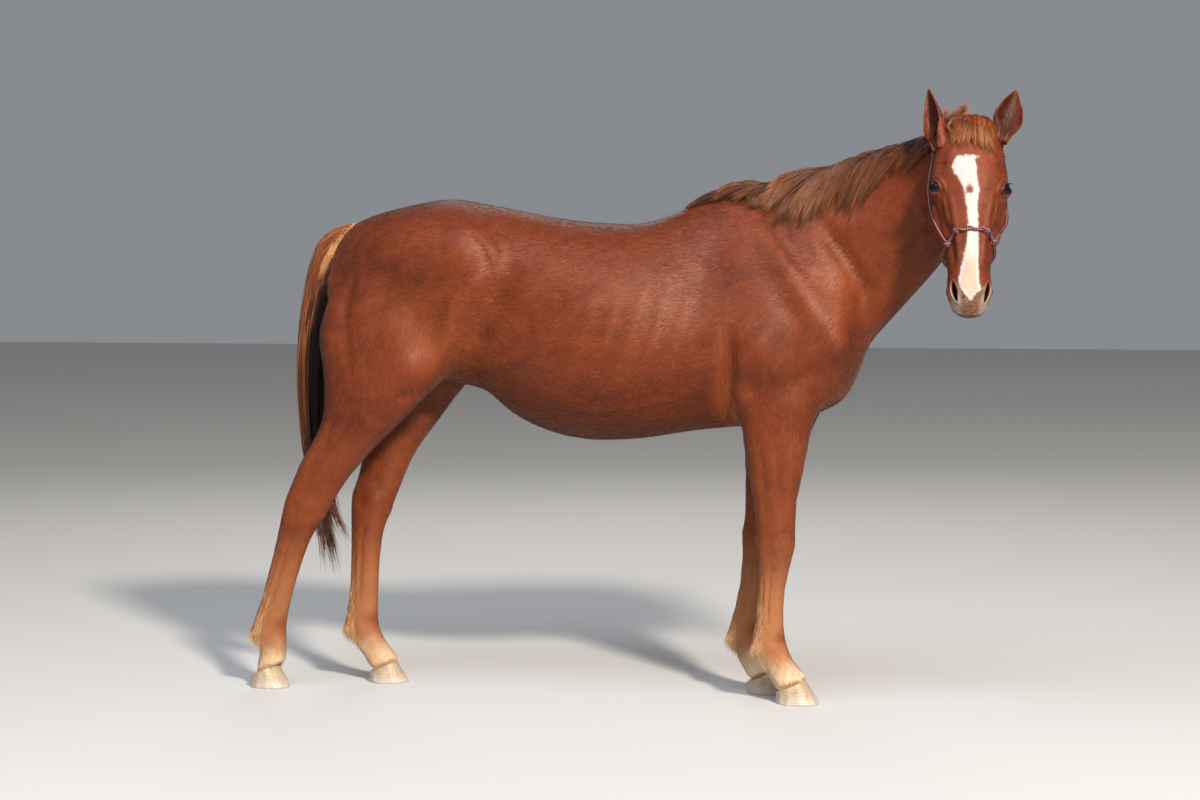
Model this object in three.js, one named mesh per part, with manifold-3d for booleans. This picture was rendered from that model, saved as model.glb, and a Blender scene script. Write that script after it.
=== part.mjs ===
// A chestnut riding horse standing square-on with its head turned to its right, wearing a
// rope halter. Millimetres, +Z up, +X towards the chest, +Y to the horse's left, floor at z = 0.
// The body is lofted whole from stations named after its landmarks, then parted by thin cuts.

import * as THREE from 'three';
import { mergeVertices } from 'three/addons/utils/BufferGeometryUtils.js';
import Module from 'manifold-3d';

const wasm = await Module();
wasm.setup();

// ---------- driving dimensions ----------

const gap = 0.3;                 // clearance between pieces that touch
const headYaw = -80;             // degrees from straight ahead, to the horse's right
const faceLean = 22;             // degrees of the face line from the vertical, nose forward
const headRoll = -2.2;           // degrees, chin a little to the horse's right
const pollPoint = new THREE.Vector3(1195, -312, 1748);
const headFullness = 2.5;         // squareness of the head's section, 2 is an ellipse
const headBulge = 0.12;          // how far the cheeks and brows bow out between face and jaw
const headFit = 0.95;            // share of the station's half width before that bow
const eyeRadius = 24;
const eyeSeat = { u: 190, v: 97, w: -44 };
const nostrilSeat = { u: 498, v: 47, w: -24, size: [26, 12, 14] };
const ropeRadius = 3.6;

// Heights and widths of the trunk. top and bottom are outline heights, half is the half
// width, mid the height of the widest place, upper and lower the fullness of the two arches.
const trunkStations = [
  { at: 'tail head', x: -806, top: 1385, bottom: 1210, half: 60, mid: 1300, upper: 2.0, lower: 2.0 },
  { at: 'seat', x: -772, top: 1452, bottom: 1120, half: 118, mid: 1300, upper: 1.9, lower: 2.0 },
  { at: 'rump', x: -690, top: 1490, bottom: 1050, half: 182, mid: 1300, upper: 1.9, lower: 2.0 },
  { at: 'croup side', x: -570, top: 1520, bottom: 1000, half: 236, mid: 1290, upper: 1.95, lower: 2.0 },
  { at: 'croup', x: -440, top: 1541, bottom: 965, half: 262, mid: 1310, upper: 2.0, lower: 2.0 },
  { at: 'hip', x: -325, top: 1523, bottom: 945, half: 268, mid: 1330, upper: 2.1, lower: 2.0 },
  { at: 'flank', x: -235, top: 1507, bottom: 868, half: 258, mid: 1240, upper: 2.1, lower: 2.0 },
  { at: 'loin', x: -110, top: 1483, bottom: 812, half: 280, mid: 1150, upper: 2.1, lower: 2.1 },
  { at: 'barrel', x: 20, top: 1467, bottom: 788, half: 298, mid: 1110, upper: 2.1, lower: 2.15 },
  { at: 'back', x: 150, top: 1462, bottom: 794, half: 296, mid: 1100, upper: 2.0, lower: 2.15 },
  { at: 'ribs', x: 260, top: 1490, bottom: 811, half: 276, mid: 1110, upper: 1.75, lower: 2.1 },
  { at: 'girth', x: 380, top: 1546, bottom: 829, half: 250, mid: 1120, upper: 1.5, lower: 2.0 },
  { at: 'withers', x: 480, top: 1568, bottom: 836, half: 240, mid: 1130, upper: 1.45, lower: 2.0 },
  { at: 'shoulder', x: 610, top: 1530, bottom: 846, half: 234, mid: 1150, upper: 1.6, lower: 2.1 },
  { at: 'brisket', x: 730, top: 1440, bottom: 882, half: 218, mid: 1150, upper: 1.9, lower: 2.2 },
  { at: 'breast', x: 800, top: 1345, bottom: 926, half: 194, mid: 1150, upper: 2.0, lower: 2.2 },
  { at: 'chest front', x: 842, top: 1262, bottom: 1020, half: 150, mid: 1150, upper: 2.0, lower: 2.1 },
  { at: 'chest end', x: 864, top: 1190, bottom: 1082, half: 84, mid: 1140, upper: 2.0, lower: 2.0 },
];

// Muscle swells on each side of the trunk: centre, reach along and up, and height.
const trunkSwells = [
  { at: 'point of hip', x: -330, z: 1420, along: 55, up: 60, swell: 14 },
  { at: 'gluteal', x: -520, z: 1400, along: 130, up: 90, swell: 14 },
  { at: 'hollow of the flank', x: -235, z: 1290, along: 70, up: 110, swell: -16 },
  { at: 'triceps', x: 540, z: 1060, along: 100, up: 110, swell: 16 },
  { at: 'shoulder blade', x: 600, z: 1330, along: 90, up: 130, swell: 10 },
  { at: 'point of shoulder', x: 775, z: 1150, along: 60, up: 80, swell: 16 },
  { at: 'behind the shoulder', x: 400, z: 1300, along: 70, up: 130, swell: -12 },
];

// The neck as pairs of outline points, crest above and throat below, with half widths.
const neckStations = [
  { at: 'buried', crest: [470, 0, 1440], throat: [600, 0, 960], half: 130, upper: 1.7, lower: 2.1 },
  { at: 'base', crest: [592, 0, 1566], throat: [838, 0, 1058], half: 168, upper: 1.55, lower: 2.1 },
  { at: 'low neck', crest: [715, -6, 1606], throat: [915, -14, 1143], half: 138, upper: 1.6, lower: 2.1 },
  { at: 'mid neck', crest: [848, -32, 1646], throat: [988, -52, 1222], half: 106, upper: 1.7, lower: 2.1 },
  { at: 'upper neck', crest: [974, -76, 1688], throat: [1062, -96, 1306], half: 91, upper: 1.8, lower: 2.1 },
  { at: 'throatlatch', crest: [1090, -146, 1722], throat: [1130, -150, 1396], half: 84, upper: 1.9, lower: 2.1 },
  { at: 'poll', crest: [1176, -240, 1738], throat: [1172, -226, 1474], half: 70, upper: 2.0, lower: 2.1 },
];

// The head along its face line: face and jaw are the outline depths, brow and cheek the half
// widths of the upper and lower part of the section.
const headStations = [
  { at: 'nape', u: -34, face: -50, jaw: -110, brow: 44, cheek: 36 },
  { at: 'poll', u: -12, face: -22, jaw: -150, brow: 78, cheek: 62 },
  { at: 'ear root', u: 34, face: 2, jaw: -196, brow: 100, cheek: 78 },
  { at: 'forehead', u: 100, face: 14, jaw: -236, brow: 112, cheek: 88 },
  { at: 'brow', u: 152, face: 13, jaw: -256, brow: 122, cheek: 97 },
  { at: 'eye', u: 192, face: 8, jaw: -266, brow: 113, cheek: 104 },
  { at: 'cheek', u: 250, face: 1, jaw: -260, brow: 90, cheek: 112 },
  { at: 'jaw front', u: 310, face: -5, jaw: -230, brow: 72, cheek: 104 },
  { at: 'nose', u: 368, face: -10, jaw: -186, brow: 59, cheek: 74 },
  { at: 'bar of the mouth', u: 424, face: -13, jaw: -152, brow: 56, cheek: 59 },
  { at: 'nostril', u: 492, face: -10, jaw: -140, brow: 65, cheek: 53 },
  { at: 'upper lip', u: 532, face: -22, jaw: -134, brow: 59, cheek: 48 },
  { at: 'lips', u: 561, face: -48, jaw: -118, brow: 43, cheek: 36 },
  { at: 'lip end', u: 571, face: -66, jaw: -102, brow: 20, cheek: 16 },
];

// An ear from its root to its tip: half width, depth of the cup and thickness of its wall.
const earRoot = { u: 30, v: 78, w: -56 };
const earTip = { u: -120, w: -46 };
const earPose = { left: { spread: 144, width: 1.14 }, right: { spread: 130, width: 0.96 } };
const earTurn = 0.35;            // how far the opening turns from straight ahead to the side
const earStations = [
  { t: 0, half: 24, deep: 24, wall: 20 },
  { t: 0.16, half: 27, deep: 26, wall: 12 },
  { t: 0.38, half: 32, deep: 24, wall: 5 },
  { t: 0.6, half: 29, deep: 18, wall: 4.5 },
  { t: 0.8, half: 20, deep: 12, wall: 4 },
  { t: 0.94, half: 9, deep: 6, wall: 3 },
  { t: 1, half: 3, deep: 2.5, wall: 2 },
];

// Thickness of the limbs by height: front and back of the bone line, and half width.
const foreThickness = [
  { at: 'buried', z: 1080, front: 128, back: 104, half: 62 },
  { at: 'elbow', z: 905, front: 122, back: 122, half: 80 },
  { at: 'forearm top', z: 820, front: 103, back: 104, half: 72 },
  { at: 'forearm', z: 700, front: 83, back: 82, half: 60 },
  { at: 'forearm end', z: 590, front: 66, back: 65, half: 50 },
  { at: 'above knee', z: 530, front: 62, back: 61, half: 48 },
  { at: 'knee', z: 470, front: 59, back: 58, half: 48 },
  { at: 'below knee', z: 412, front: 47, back: 49, half: 38 },
  { at: 'cannon top', z: 350, front: 40, back: 43, half: 31 },
  { at: 'cannon', z: 270, front: 40, back: 44, half: 30 },
  { at: 'above fetlock', z: 220, front: 44, back: 50, half: 34 },
  { at: 'fetlock', z: 178, front: 51, back: 56, half: 39 },
  { at: 'ergot', z: 145, front: 46, back: 54, half: 37 },
  { at: 'pastern', z: 112, front: 42, back: 44, half: 35 },
  { at: 'coronet', z: 78, front: 47, back: 48, half: 44 },
  { at: 'in the hoof', z: 40, front: 50, back: 50, half: 46 },
];
const hindThickness = [
  { at: 'buried', z: 1330, front: 150, back: 140, half: 84 },
  { at: 'hip joint', z: 1230, front: 205, back: 196, half: 104 },
  { at: 'thigh', z: 1120, front: 222, back: 216, half: 118 },
  { at: 'stifle', z: 1010, front: 196, back: 192, half: 116 },
  { at: 'gaskin top', z: 920, front: 142, back: 140, half: 98 },
  { at: 'gaskin', z: 820, front: 96, back: 94, half: 76 },
  { at: 'gaskin end', z: 710, front: 72, back: 82, half: 56 },
  { at: 'above hock', z: 645, front: 70, back: 70, half: 49 },
  { at: 'point of hock', z: 598, front: 72, back: 68, half: 50 },
  { at: 'hock', z: 545, front: 67, back: 60, half: 50 },
  { at: 'below hock', z: 470, front: 50, back: 52, half: 42 },
  { at: 'cannon top', z: 400, front: 48, back: 49, half: 35 },
  { at: 'cannon', z: 290, front: 46, back: 49, half: 32 },
  { at: 'above fetlock', z: 225, front: 48, back: 54, half: 36 },
  { at: 'fetlock', z: 178, front: 54, back: 58, half: 40 },
  { at: 'ergot', z: 145, front: 48, back: 54, half: 38 },
  { at: 'pastern', z: 110, front: 41, back: 42, half: 35 },
  { at: 'coronet', z: 78, front: 46, back: 46, half: 43 },
  { at: 'in the hoof', z: 40, front: 48, back: 48, half: 45 },
];

// Fore and hind legs: the heights they are parted at, and how far behind and ahead of the
// elbow or stifle the part below the first cut reaches.
const legKinds = {
  fore: { thickness: foreThickness, upper: 'forearm', cuts: [815, 535, 196], behind: 190, ahead: 420 },
  hind: { thickness: hindThickness, upper: 'gaskin', cuts: [955, 670, 196], behind: 480, ahead: 210 },
};
const legSide = 500;             // further out than any leg
const limbFullness = 2.2;

// Each leg: its bone line, and its hoof with the middle of the sole, its turn outwards in
// degrees, half width, length and height at the toe.
const legs = [
  {
    name: 'fore_right', kind: legKinds.fore,
    bones: [
      { z: 1080, x: 660, y: -122 }, { z: 900, x: 610, y: -128 }, { z: 700, x: 598, y: -118 },
      { z: 470, x: 599, y: -108 }, { z: 300, x: 586, y: -104 }, { z: 178, x: 583, y: -102 },
      { z: 120, x: 610, y: -101 }, { z: 78, x: 643, y: -100 }, { z: 40, x: 660, y: -100 },
    ],
    hoof: { x: 668, y: -102, turn: -4, half: 62, length: 136, toe: 84 },
  },
  {
    name: 'fore_left', kind: legKinds.fore,
    bones: [
      { z: 1080, x: 660, y: 122 }, { z: 900, x: 596, y: 128 }, { z: 700, x: 556, y: 118 },
      { z: 470, x: 526, y: 104 }, { z: 300, x: 498, y: 94 }, { z: 178, x: 480, y: 88 },
      { z: 120, x: 500, y: 86 }, { z: 78, x: 530, y: 84 }, { z: 40, x: 546, y: 83 },
    ],
    hoof: { x: 553, y: 82, turn: 5, half: 62, length: 136, toe: 84 },
  },
  {
    name: 'hind_right', kind: legKinds.hind,
    bones: [
      { z: 1330, x: -560, y: -122 }, { z: 1120, x: -612, y: -142 }, { z: 1010, x: -618, y: -148 },
      { z: 900, x: -662, y: -150 }, { z: 760, x: -758, y: -140 }, { z: 640, x: -848, y: -122 },
      { z: 560, x: -892, y: -114 }, { z: 400, x: -950, y: -106 }, { z: 240, x: -996, y: -102 },
      { z: 178, x: -1012, y: -100 }, { z: 120, x: -1000, y: -100 }, { z: 78, x: -1002, y: -100 },
      { z: 40, x: -1006, y: -100 },
    ],
    hoof: { x: -1010, y: -100, turn: -12, half: 58, length: 130, toe: 80 },
  },
  {
    name: 'hind_left', kind: legKinds.hind,
    bones: [
      { z: 1330, x: -550, y: 122 }, { z: 1120, x: -596, y: 142 }, { z: 1010, x: -594, y: 148 },
      { z: 900, x: -612, y: 150 }, { z: 760, x: -664, y: 138 }, { z: 640, x: -708, y: 112 },
      { z: 560, x: -736, y: 100 }, { z: 400, x: -748, y: 88 }, { z: 240, x: -753, y: 80 },
      { z: 178, x: -758, y: 77 }, { z: 120, x: -728, y: 74 }, { z: 78, x: -692, y: 72 },
      { z: 40, x: -676, y: 71 },
    ],
    hoof: { x: -668, y: 70, turn: 8, half: 58, length: 130, toe: 80 },
  },
];

// A hoof by height, as shares of its length ahead of and behind the middle and of its half
// width. The coronet slopes down to the heel and crosses the middle at a share of the toe.
const hoofStations = [
  { z: 0, toe: 0.5, heel: 0.5, half: 1 },
  { z: 6, toe: 0.485, heel: 0.49, half: 0.985 },
  { z: 45, toe: 0.285, heel: 0.5, half: 0.86 },
  { z: 95, toe: 0.03, heel: 0.52, half: 0.7 },
];
const hoofFullness = { toe: 2.1, heel: 2.6 };
const heelPinch = 0.22;
const coronetSlope = 24;
const coronetShare = 0.74;

// The mane covers the crest and falls on the right side. Stations run from the withers to the
// poll: edge is the height of the hair's lower edge, crest the far side of the parting.
const maneDepth = { neck: 18, trunk: 7 };
const maneStations = [
  { x: 318, edge: 1506, crest: 14 },
  { x: 400, edge: 1505, crest: 16 },
  { x: 470, edge: 1470, crest: 16 },
  { x: 580, edge: 1432, crest: 16 },
  { x: 700, edge: 1450, crest: 12 },
  { x: 815, edge: 1466, crest: -8 },
  { x: 852, edge: 1560, crest: -16 },
  { x: 960, edge: 1596, crest: -56 },
  { x: 1050, edge: 1664, crest: -106 },
  { x: 1096, edge: 1700, crest: -138 },
];

// The forelock spreads over the forehead between the ears.
const forelockDepth = 13;
const forelockStations = [
  { u: -46, half: 34 }, { u: -16, half: 56 }, { u: 30, half: 66 },
  { u: 62, half: 84 }, { u: 88, half: 66 }, { u: 112, half: 26 },
];

// The tail hangs from the dock and tapers to a wisp.
const tailStations = [
  { s: 0, x: -722, y: 0, z: 1448, half: 24, deep: 24 },
  { s: 1, x: -775, y: 0, z: 1430, half: 34, deep: 28 },
  { s: 2, x: -820, y: 0, z: 1388, half: 44, deep: 38 },
  { s: 3, x: -858, y: 0, z: 1290, half: 54, deep: 46 },
  { s: 4, x: -884, y: -2, z: 1150, half: 58, deep: 53 },
  { s: 5, x: -899, y: -2, z: 980, half: 54, deep: 53 },
  { s: 6, x: -899, y: 0, z: 820, half: 44, deep: 44 },
  { s: 7, x: -884, y: 4, z: 660, half: 34, deep: 36 },
  { s: 8, x: -856, y: 8, z: 500, half: 24, deep: 30 },
  { s: 9, x: -826, y: 10, z: 340, half: 6, deep: 10 },
];

// The halter's routes: distance down the face line, degrees round the head from the face line,
// and slack off the skin.
const ropeLift = ropeRadius + 3.4;
const ropeStep = 54;
const nosebandRoute = [[334, 66], [326, 48], [322, 34], [320, 0], [322, -34], [326, -48], [334, -66]];
const chinRoute = [
  [334, 66], [348, 92, 2], [364, 132, 4], [372, 180, 4], [364, 228, 4], [348, 268, 2], [334, 294],
];
const cheekRoute = {
  left: [[334, 66], [290, 80], [240, 94], [180, 98], [120, 95], [60, 90]],
  right: [[334, 66], [290, 75], [240, 82], [180, 84], [120, 86], [60, 90]],
};
const throatRoute = {
  left: [[372, 180, 4], [300, 172, 4], [240, 164, 2], [180, 150], [120, 130], [60, 90]],
  right: [[372, 180, 4], [300, 172, 4], [240, 164, 2], [205, 156]],
};
const crownRoute = [[10, 104, -92], [-26, 64, -88], [-40, 0, -84], [-26, -64, -88], [10, -104, -92]];
const knotSize = [11, 9, 8];
const knotRoom = 5;              // clearance of the cheek knots from the throat rope

// ---------- colours ----------

const coat = new THREE.MeshStandardMaterial({ color: 0x7a3a1e, roughness: 0.5, metalness: 0 });
const paleCoat = new THREE.MeshStandardMaterial({ color: 0xb98a5c, roughness: 0.6, metalness: 0 });
const hair = new THREE.MeshStandardMaterial({ color: 0x8a5a38, roughness: 0.6, metalness: 0 });
const tailHair = new THREE.MeshStandardMaterial({ color: 0x3a2418, roughness: 0.6, metalness: 0 });
const horn = new THREE.MeshStandardMaterial({ color: 0xc9b698, roughness: 0.6, metalness: 0 });
const wetEye = new THREE.MeshStandardMaterial({ color: 0x1c1210, roughness: 0.1, metalness: 0 });
const rope = new THREE.MeshStandardMaterial({ color: 0x6e2430, roughness: 0.8, metalness: 0 });

// ---------- interpolation and solids ----------

// Smooth curve through stations that never overshoots them.
function track(stations, along, value) {
  const places = stations.map((station) => station[along]);
  const heights = stations.map((station) => station[value]);
  const rising = places[1] > places[0];
  if (!rising) {
    places.reverse();
    heights.reverse();
  }
  const steps = places.slice(1).map((place, i) => place - places[i]);
  const slopes = steps.map((step, i) => (heights[i + 1] - heights[i]) / step);
  const tangents = heights.map((_, i) => {
    if (i === 0) return slopes[0];
    if (i === heights.length - 1) return slopes[i - 1];
    if (slopes[i - 1] * slopes[i] <= 0) return 0;
    const before = 2 * steps[i] + steps[i - 1];
    const after = steps[i] + 2 * steps[i - 1];
    return (before + after) / (before / slopes[i - 1] + after / slopes[i]);
  });
  return (place) => {
    const at = THREE.MathUtils.clamp(place, places[0], places.at(-1));
    const i = Math.max(0, places.findIndex((next, k) => k > 0 && at <= next) - 1);
    const t = (at - places[i]) / steps[i];
    const rise = t * t * (3 - 2 * t);
    const run = t * (1 - t);
    return heights[i] * (1 - rise) + heights[i + 1] * rise
      + steps[i] * run * (tangents[i] * (1 - t) - tangents[i + 1] * t);
  };
}

function tracks(stations, along, values) {
  return Object.fromEntries(values.map((value) => [value, track(stations, along, value)]));
}

// The stations' own places, with more shared out where two are further apart than a step.
function places(stations, along, longest) {
  const own = stations.map((station) => station[along]);
  return own.flatMap((place, i) => {
    if (i === own.length - 1) return [place];
    const count = Math.ceil(Math.abs(own[i + 1] - place) / longest);
    return Array.from({ length: count }, (_, k) => place + ((own[i + 1] - place) * k) / count);
  });
}

const power = (value, fullness) => Math.sign(value) * Math.abs(value) ** (2 / fullness);

function solid(geometry) {
  const bare = geometry.index ? geometry : mergeVertices(geometry);
  bare.deleteAttribute('normal');
  bare.deleteAttribute('uv');
  const merged = mergeVertices(bare, 1e-3);
  const vertProperties = new Float32Array(merged.attributes.position.array);
  const triVerts = new Uint32Array(merged.index.array);
  return new wasm.Manifold(new wasm.Mesh({ numProp: 3, vertProperties, triVerts }));
}

// A closed loft: one ring for each item, point(item, angle) on it, and a flat cap at each end.
function loft(items, around, point) {
  const sphere = new THREE.SphereGeometry(1, around, items.length + 1);
  const position = sphere.attributes.position;
  const ring = (item) => Array.from({ length: around }, (_, i) => point(item, (i / around) * 2 * Math.PI));
  const rings = items.map(ring);
  const middle = (points) => points
    .reduce((sum, each) => sum.add(each), new THREE.Vector3())
    .divideScalar(points.length);
  for (let row = 0; row <= items.length + 1; row += 1) {
    for (let i = 0; i <= around; i += 1) {
      const atPole = row === 0 || row === items.length + 1;
      const nearest = rings[THREE.MathUtils.clamp(row - 1, 0, items.length - 1)];
      const place = atPole ? middle(nearest) : nearest[i % around];
      position.setXYZ(row * (around + 1) + i, place.x, place.y, place.z);
    }
  }
  if (signedVolume(sphere) < 0) sphere.index.array.reverse();
  return solid(sphere);
}

function signedVolume(geometry) {
  const { position } = geometry.attributes;
  const corner = [0, 1, 2].map(() => new THREE.Vector3());
  let volume = 0;
  for (let i = 0; i < geometry.index.count; i += 3) {
    corner.forEach((each, k) => each.fromBufferAttribute(position, geometry.index.getX(i + k)));
    volume += corner[0].dot(corner[1].cross(corner[2])) / 6;
  }
  return volume;
}

// ---------- trunk ----------

function trunk(grow) {
  const at = tracks(trunkStations, 'x', ['top', 'bottom', 'half', 'mid', 'upper', 'lower']);
  const ends = [trunkStations[0].x, trunkStations.at(-1).x];
  return loft(places(trunkStations, 'x', 105), 20, (x, angle) => {
    const above = Math.cos(angle) > 0;
    const fullness = above ? at.upper(x) : at.lower(x);
    const reach = (above ? at.top(x) - at.mid(x) : at.mid(x) - at.bottom(x)) + grow;
    const z = at.mid(x) + reach * power(Math.cos(angle), fullness);
    const side = power(Math.sin(angle), fullness);
    const swell = trunkSwells.reduce((sum, muscle) => sum + muscle.swell
      * Math.exp(-(((x - muscle.x) / muscle.along) ** 2) - ((z - muscle.z) / muscle.up) ** 2), 0);
    const y = side * (at.half(x) + grow) + Math.sign(side) * Math.min(1, Math.abs(side) * 2) * swell;
    const atEnd = x === ends[0] ? -grow : x === ends[1] ? grow : 0;
    return new THREE.Vector3(x + atEnd, y, z);
  });
}

// ---------- neck ----------

const neckTracks = tracks(
  neckStations.map(({ crest, throat, half, upper, lower }, s) => ({
    s, half, upper, lower,
    crestX: crest[0], crestY: crest[1], crestZ: crest[2],
    throatX: throat[0], throatY: throat[1], throatZ: throat[2],
  })),
  's',
  ['half', 'upper', 'lower', 'crestX', 'crestY', 'crestZ', 'throatX', 'throatY', 'throatZ'],
);

// A point of the neck's surface: s counts the stations, angle 0 is the crest, 90 degrees the left.
function neckPoint(s, angle, grow) {
  const at = neckTracks;
  const crestAt = (place) => new THREE.Vector3(at.crestX(place), at.crestY(place), at.crestZ(place));
  const throatAt = (place) => new THREE.Vector3(at.throatX(place), at.throatY(place), at.throatZ(place));
  const middleAt = (place) => crestAt(place).lerp(throatAt(place), 0.5);
  const step = 0.05;
  const last = neckStations.length - 1;
  const crest = crestAt(s);
  const throat = throatAt(s);
  const ahead = middleAt(Math.min(s + step, last)).sub(middleAt(Math.max(s - step, 0))).normalize();
  const rise = crest.clone().sub(throat).normalize();
  const sideways = new THREE.Vector3().crossVectors(rise, ahead).normalize();
  const above = Math.cos(angle) > 0;
  const fullness = above ? at.upper(s) : at.lower(s);
  const widest = throat.clone().lerp(crest, 0.42);
  const reach = (above ? crest : throat).distanceTo(widest) + grow;
  return widest
    .addScaledVector(rise, reach * power(Math.cos(angle), fullness))
    .addScaledVector(sideways, (at.half(s) + grow) * power(Math.sin(angle), fullness));
}

function neck(grow) {
  const rings = places(neckStations.map((_, s) => ({ s })), 's', 0.5);
  return loft(rings, 18, (s, angle) => neckPoint(s, angle, grow));
}

// ---------- head ----------

// Head axes: u down the face line, v to the horse's left, w out of the face.
const headFrame = (() => {
  const yaw = THREE.MathUtils.degToRad(headYaw);
  const lean = THREE.MathUtils.degToRad(faceLean);
  const roll = THREE.MathUtils.degToRad(headRoll);
  const heading = new THREE.Vector3(Math.cos(yaw), Math.sin(yaw), 0);
  const left = new THREE.Vector3(-Math.sin(yaw), Math.cos(yaw), 0);
  const down = heading.clone().multiplyScalar(Math.sin(lean)).setZ(-Math.cos(lean));
  const out = heading.clone().multiplyScalar(Math.cos(lean)).setZ(Math.sin(lean));
  const turn = new THREE.Quaternion().setFromAxisAngle(out, roll);
  return { u: down.applyQuaternion(turn), v: left.applyQuaternion(turn), w: out };
})();

const onHead = (u, v, w) => pollPoint.clone()
  .addScaledVector(headFrame.u, u)
  .addScaledVector(headFrame.v, v)
  .addScaledVector(headFrame.w, w);

const headAt = tracks(headStations, 'u', ['face', 'jaw', 'brow', 'cheek']);

// A point of the head's surface: angle 0 is the face line, 90 degrees the left side.
function headPoint(u, angle, grow) {
  const face = headAt.face(u) + grow;
  const jaw = headAt.jaw(u) - grow;
  const middle = (face + jaw) / 2;
  const depth = (face - jaw) / 2;
  const forward = power(Math.cos(angle), headFullness);
  const share = (1 + forward) / 2;
  const half = headAt.brow(u) * share + headAt.cheek(u) * (1 - share);
  const bow = headFit * (1 + headBulge * (1 - forward * forward));
  const side = power(Math.sin(angle), headFullness) * (half * bow + grow);
  return onHead(u, side, middle + forward * depth);
}

const head = (grow) => loft(places(headStations, 'u', 45), 20, (u, angle) => headPoint(u, angle, grow));

function ball(centre, radius, stretch = [1, 1, 1], around = 12) {
  const geometry = new THREE.SphereGeometry(radius, around, Math.round(around * 0.6));
  const axes = new THREE.Matrix4().makeBasis(headFrame.u, headFrame.v, headFrame.w);
  geometry.scale(...stretch);
  geometry.applyMatrix4(axes);
  geometry.translate(centre.x, centre.y, centre.z);
  return solid(geometry);
}

const eyeCentre = (side) => onHead(eyeSeat.u, side * eyeSeat.v, eyeSeat.w);

function nostril(side) {
  const { u, v, w, size } = nostrilSeat;
  return ball(onHead(u, side * v, w), 1, size, 10);
}

// ---------- ears ----------

// A curved leaf: an outer and an inner arc that meet at the edges of the opening, which looks
// forward and a little outwards.
function ear(side) {
  const { spread, width } = earPose[side > 0 ? 'left' : 'right'];
  const root = onHead(earRoot.u, side * earRoot.v, earRoot.w);
  const tip = onHead(earTip.u, side * spread, earTip.w);
  const rise = tip.clone().sub(root).normalize();
  const opening = headFrame.w.clone().addScaledVector(headFrame.v, side * earTurn);
  opening.addScaledVector(rise, -opening.dot(rise)).normalize();
  const across = new THREE.Vector3().crossVectors(rise, opening).multiplyScalar(side);
  const at = tracks(earStations, 't', ['half', 'deep', 'wall']);
  return loft(places(earStations, 't', 0.22), 12, (t, angle) => {
    const outer = Math.sin(angle) >= 0;
    const sweep = Math.cos(angle);
    const arch = Math.sqrt(Math.max(0, 1 - sweep * sweep));
    const depth = outer ? -at.deep(t) * arch : -(at.deep(t) - at.wall(t) * 2) * arch;
    return root.clone()
      .addScaledVector(rise, t * tip.distanceTo(root))
      .addScaledVector(across, sweep * at.half(t) * width)
      .addScaledVector(opening, depth);
  });
}

// ---------- legs and hooves ----------

// A limb's section has few sides, so it is drawn out until its sides, not its corners, are as
// thick as the stations say.
function limb(leg) {
  const bone = tracks(leg.bones, 'z', ['x', 'y']);
  const { thickness } = leg.kind;
  const thick = tracks(thickness, 'z', ['front', 'back', 'half']);
  const around = 10;
  const fill = (1 + 1 / Math.cos(Math.PI / around)) / 2;
  const step = 20;
  return loft(places(thickness, 'z', 85), around, (z, angle) => {
    const slope = (bone.x(z + step) - bone.x(z - step)) / (2 * step);
    const stretch = Math.sqrt(1 + slope * slope);
    const along = power(Math.cos(angle), limbFullness) * stretch;
    const side = power(Math.sin(angle), limbFullness);
    const reach = (along > 0 ? thick.front(z) : thick.back(z)) * fill;
    return new THREE.Vector3(bone.x(z) + along * reach, bone.y(z) + side * thick.half(z) * fill, z);
  });
}

// The plane of the coronet slopes down to the heel; the leg ends above it, the hoof below it.
function coronetPlane(hoof) {
  const turn = THREE.MathUtils.degToRad(hoof.turn);
  const slope = THREE.MathUtils.degToRad(coronetSlope);
  const normal = new THREE.Vector3(
    -Math.sin(slope) * Math.cos(turn), -Math.sin(slope) * Math.sin(turn), Math.cos(slope),
  );
  return { normal, point: new THREE.Vector3(hoof.x, hoof.y, hoof.toe * coronetShare) };
}

function hoofSolid(hoof) {
  const turn = THREE.MathUtils.degToRad(hoof.turn);
  const at = tracks(hoofStations, 'z', ['toe', 'heel', 'half']);
  const body = loft(hoofStations.map(({ z }) => z), 14, (z, angle) => {
    const along = Math.cos(angle);
    const reach = hoof.length * (along > 0 ? at.toe(z) : at.heel(z));
    const pinch = along < 0 ? 1 - heelPinch * along * along : 1;
    const fore = power(along, along < 0 ? hoofFullness.heel : hoofFullness.toe) * reach;
    const side = power(Math.sin(angle), hoofFullness.toe) * hoof.half * at.half(z) * pinch;
    return new THREE.Vector3(
      hoof.x + fore * Math.cos(turn) - side * Math.sin(turn),
      hoof.y + fore * Math.sin(turn) + side * Math.cos(turn),
      z,
    );
  });
  const { normal, point } = coronetPlane(hoof);
  const below = normal.clone().negate();
  return body.trimByPlane(below.toArray(), below.dot(point));
}

// ---------- mane, forelock and tail ----------

function mane() {
  const at = tracks(maneStations, 'x', ['edge', 'crest']);
  const reach = { right: -480, top: 1900 };
  const corners = [['crest', reach.top], ['right', reach.top], ['right', 0], ['crest', 0]];
  const region = loft(places(maneStations, 'x', 70), corners.length, (x, angle) => {
    const [side, height] = corners[Math.round((angle / (2 * Math.PI)) * corners.length)];
    return new THREE.Vector3(x, side === 'crest' ? at.crest(x) : reach.right, height || at.edge(x));
  });
  return neck(maneDepth.neck).add(trunk(maneDepth.trunk)).intersect(region);
}

function forelock() {
  const half = track(forelockStations, 'u', 'half');
  const corners = [[1, 70], [-1, 70], [-1, -34], [1, -34]];
  const region = loft(places(forelockStations, 'u', 30), corners.length, (u, angle) => {
    const [side, w] = corners[Math.round((angle / (2 * Math.PI)) * corners.length)];
    return onHead(u, side * half(u), w);
  });
  return head(forelockDepth).intersect(region);
}

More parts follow.
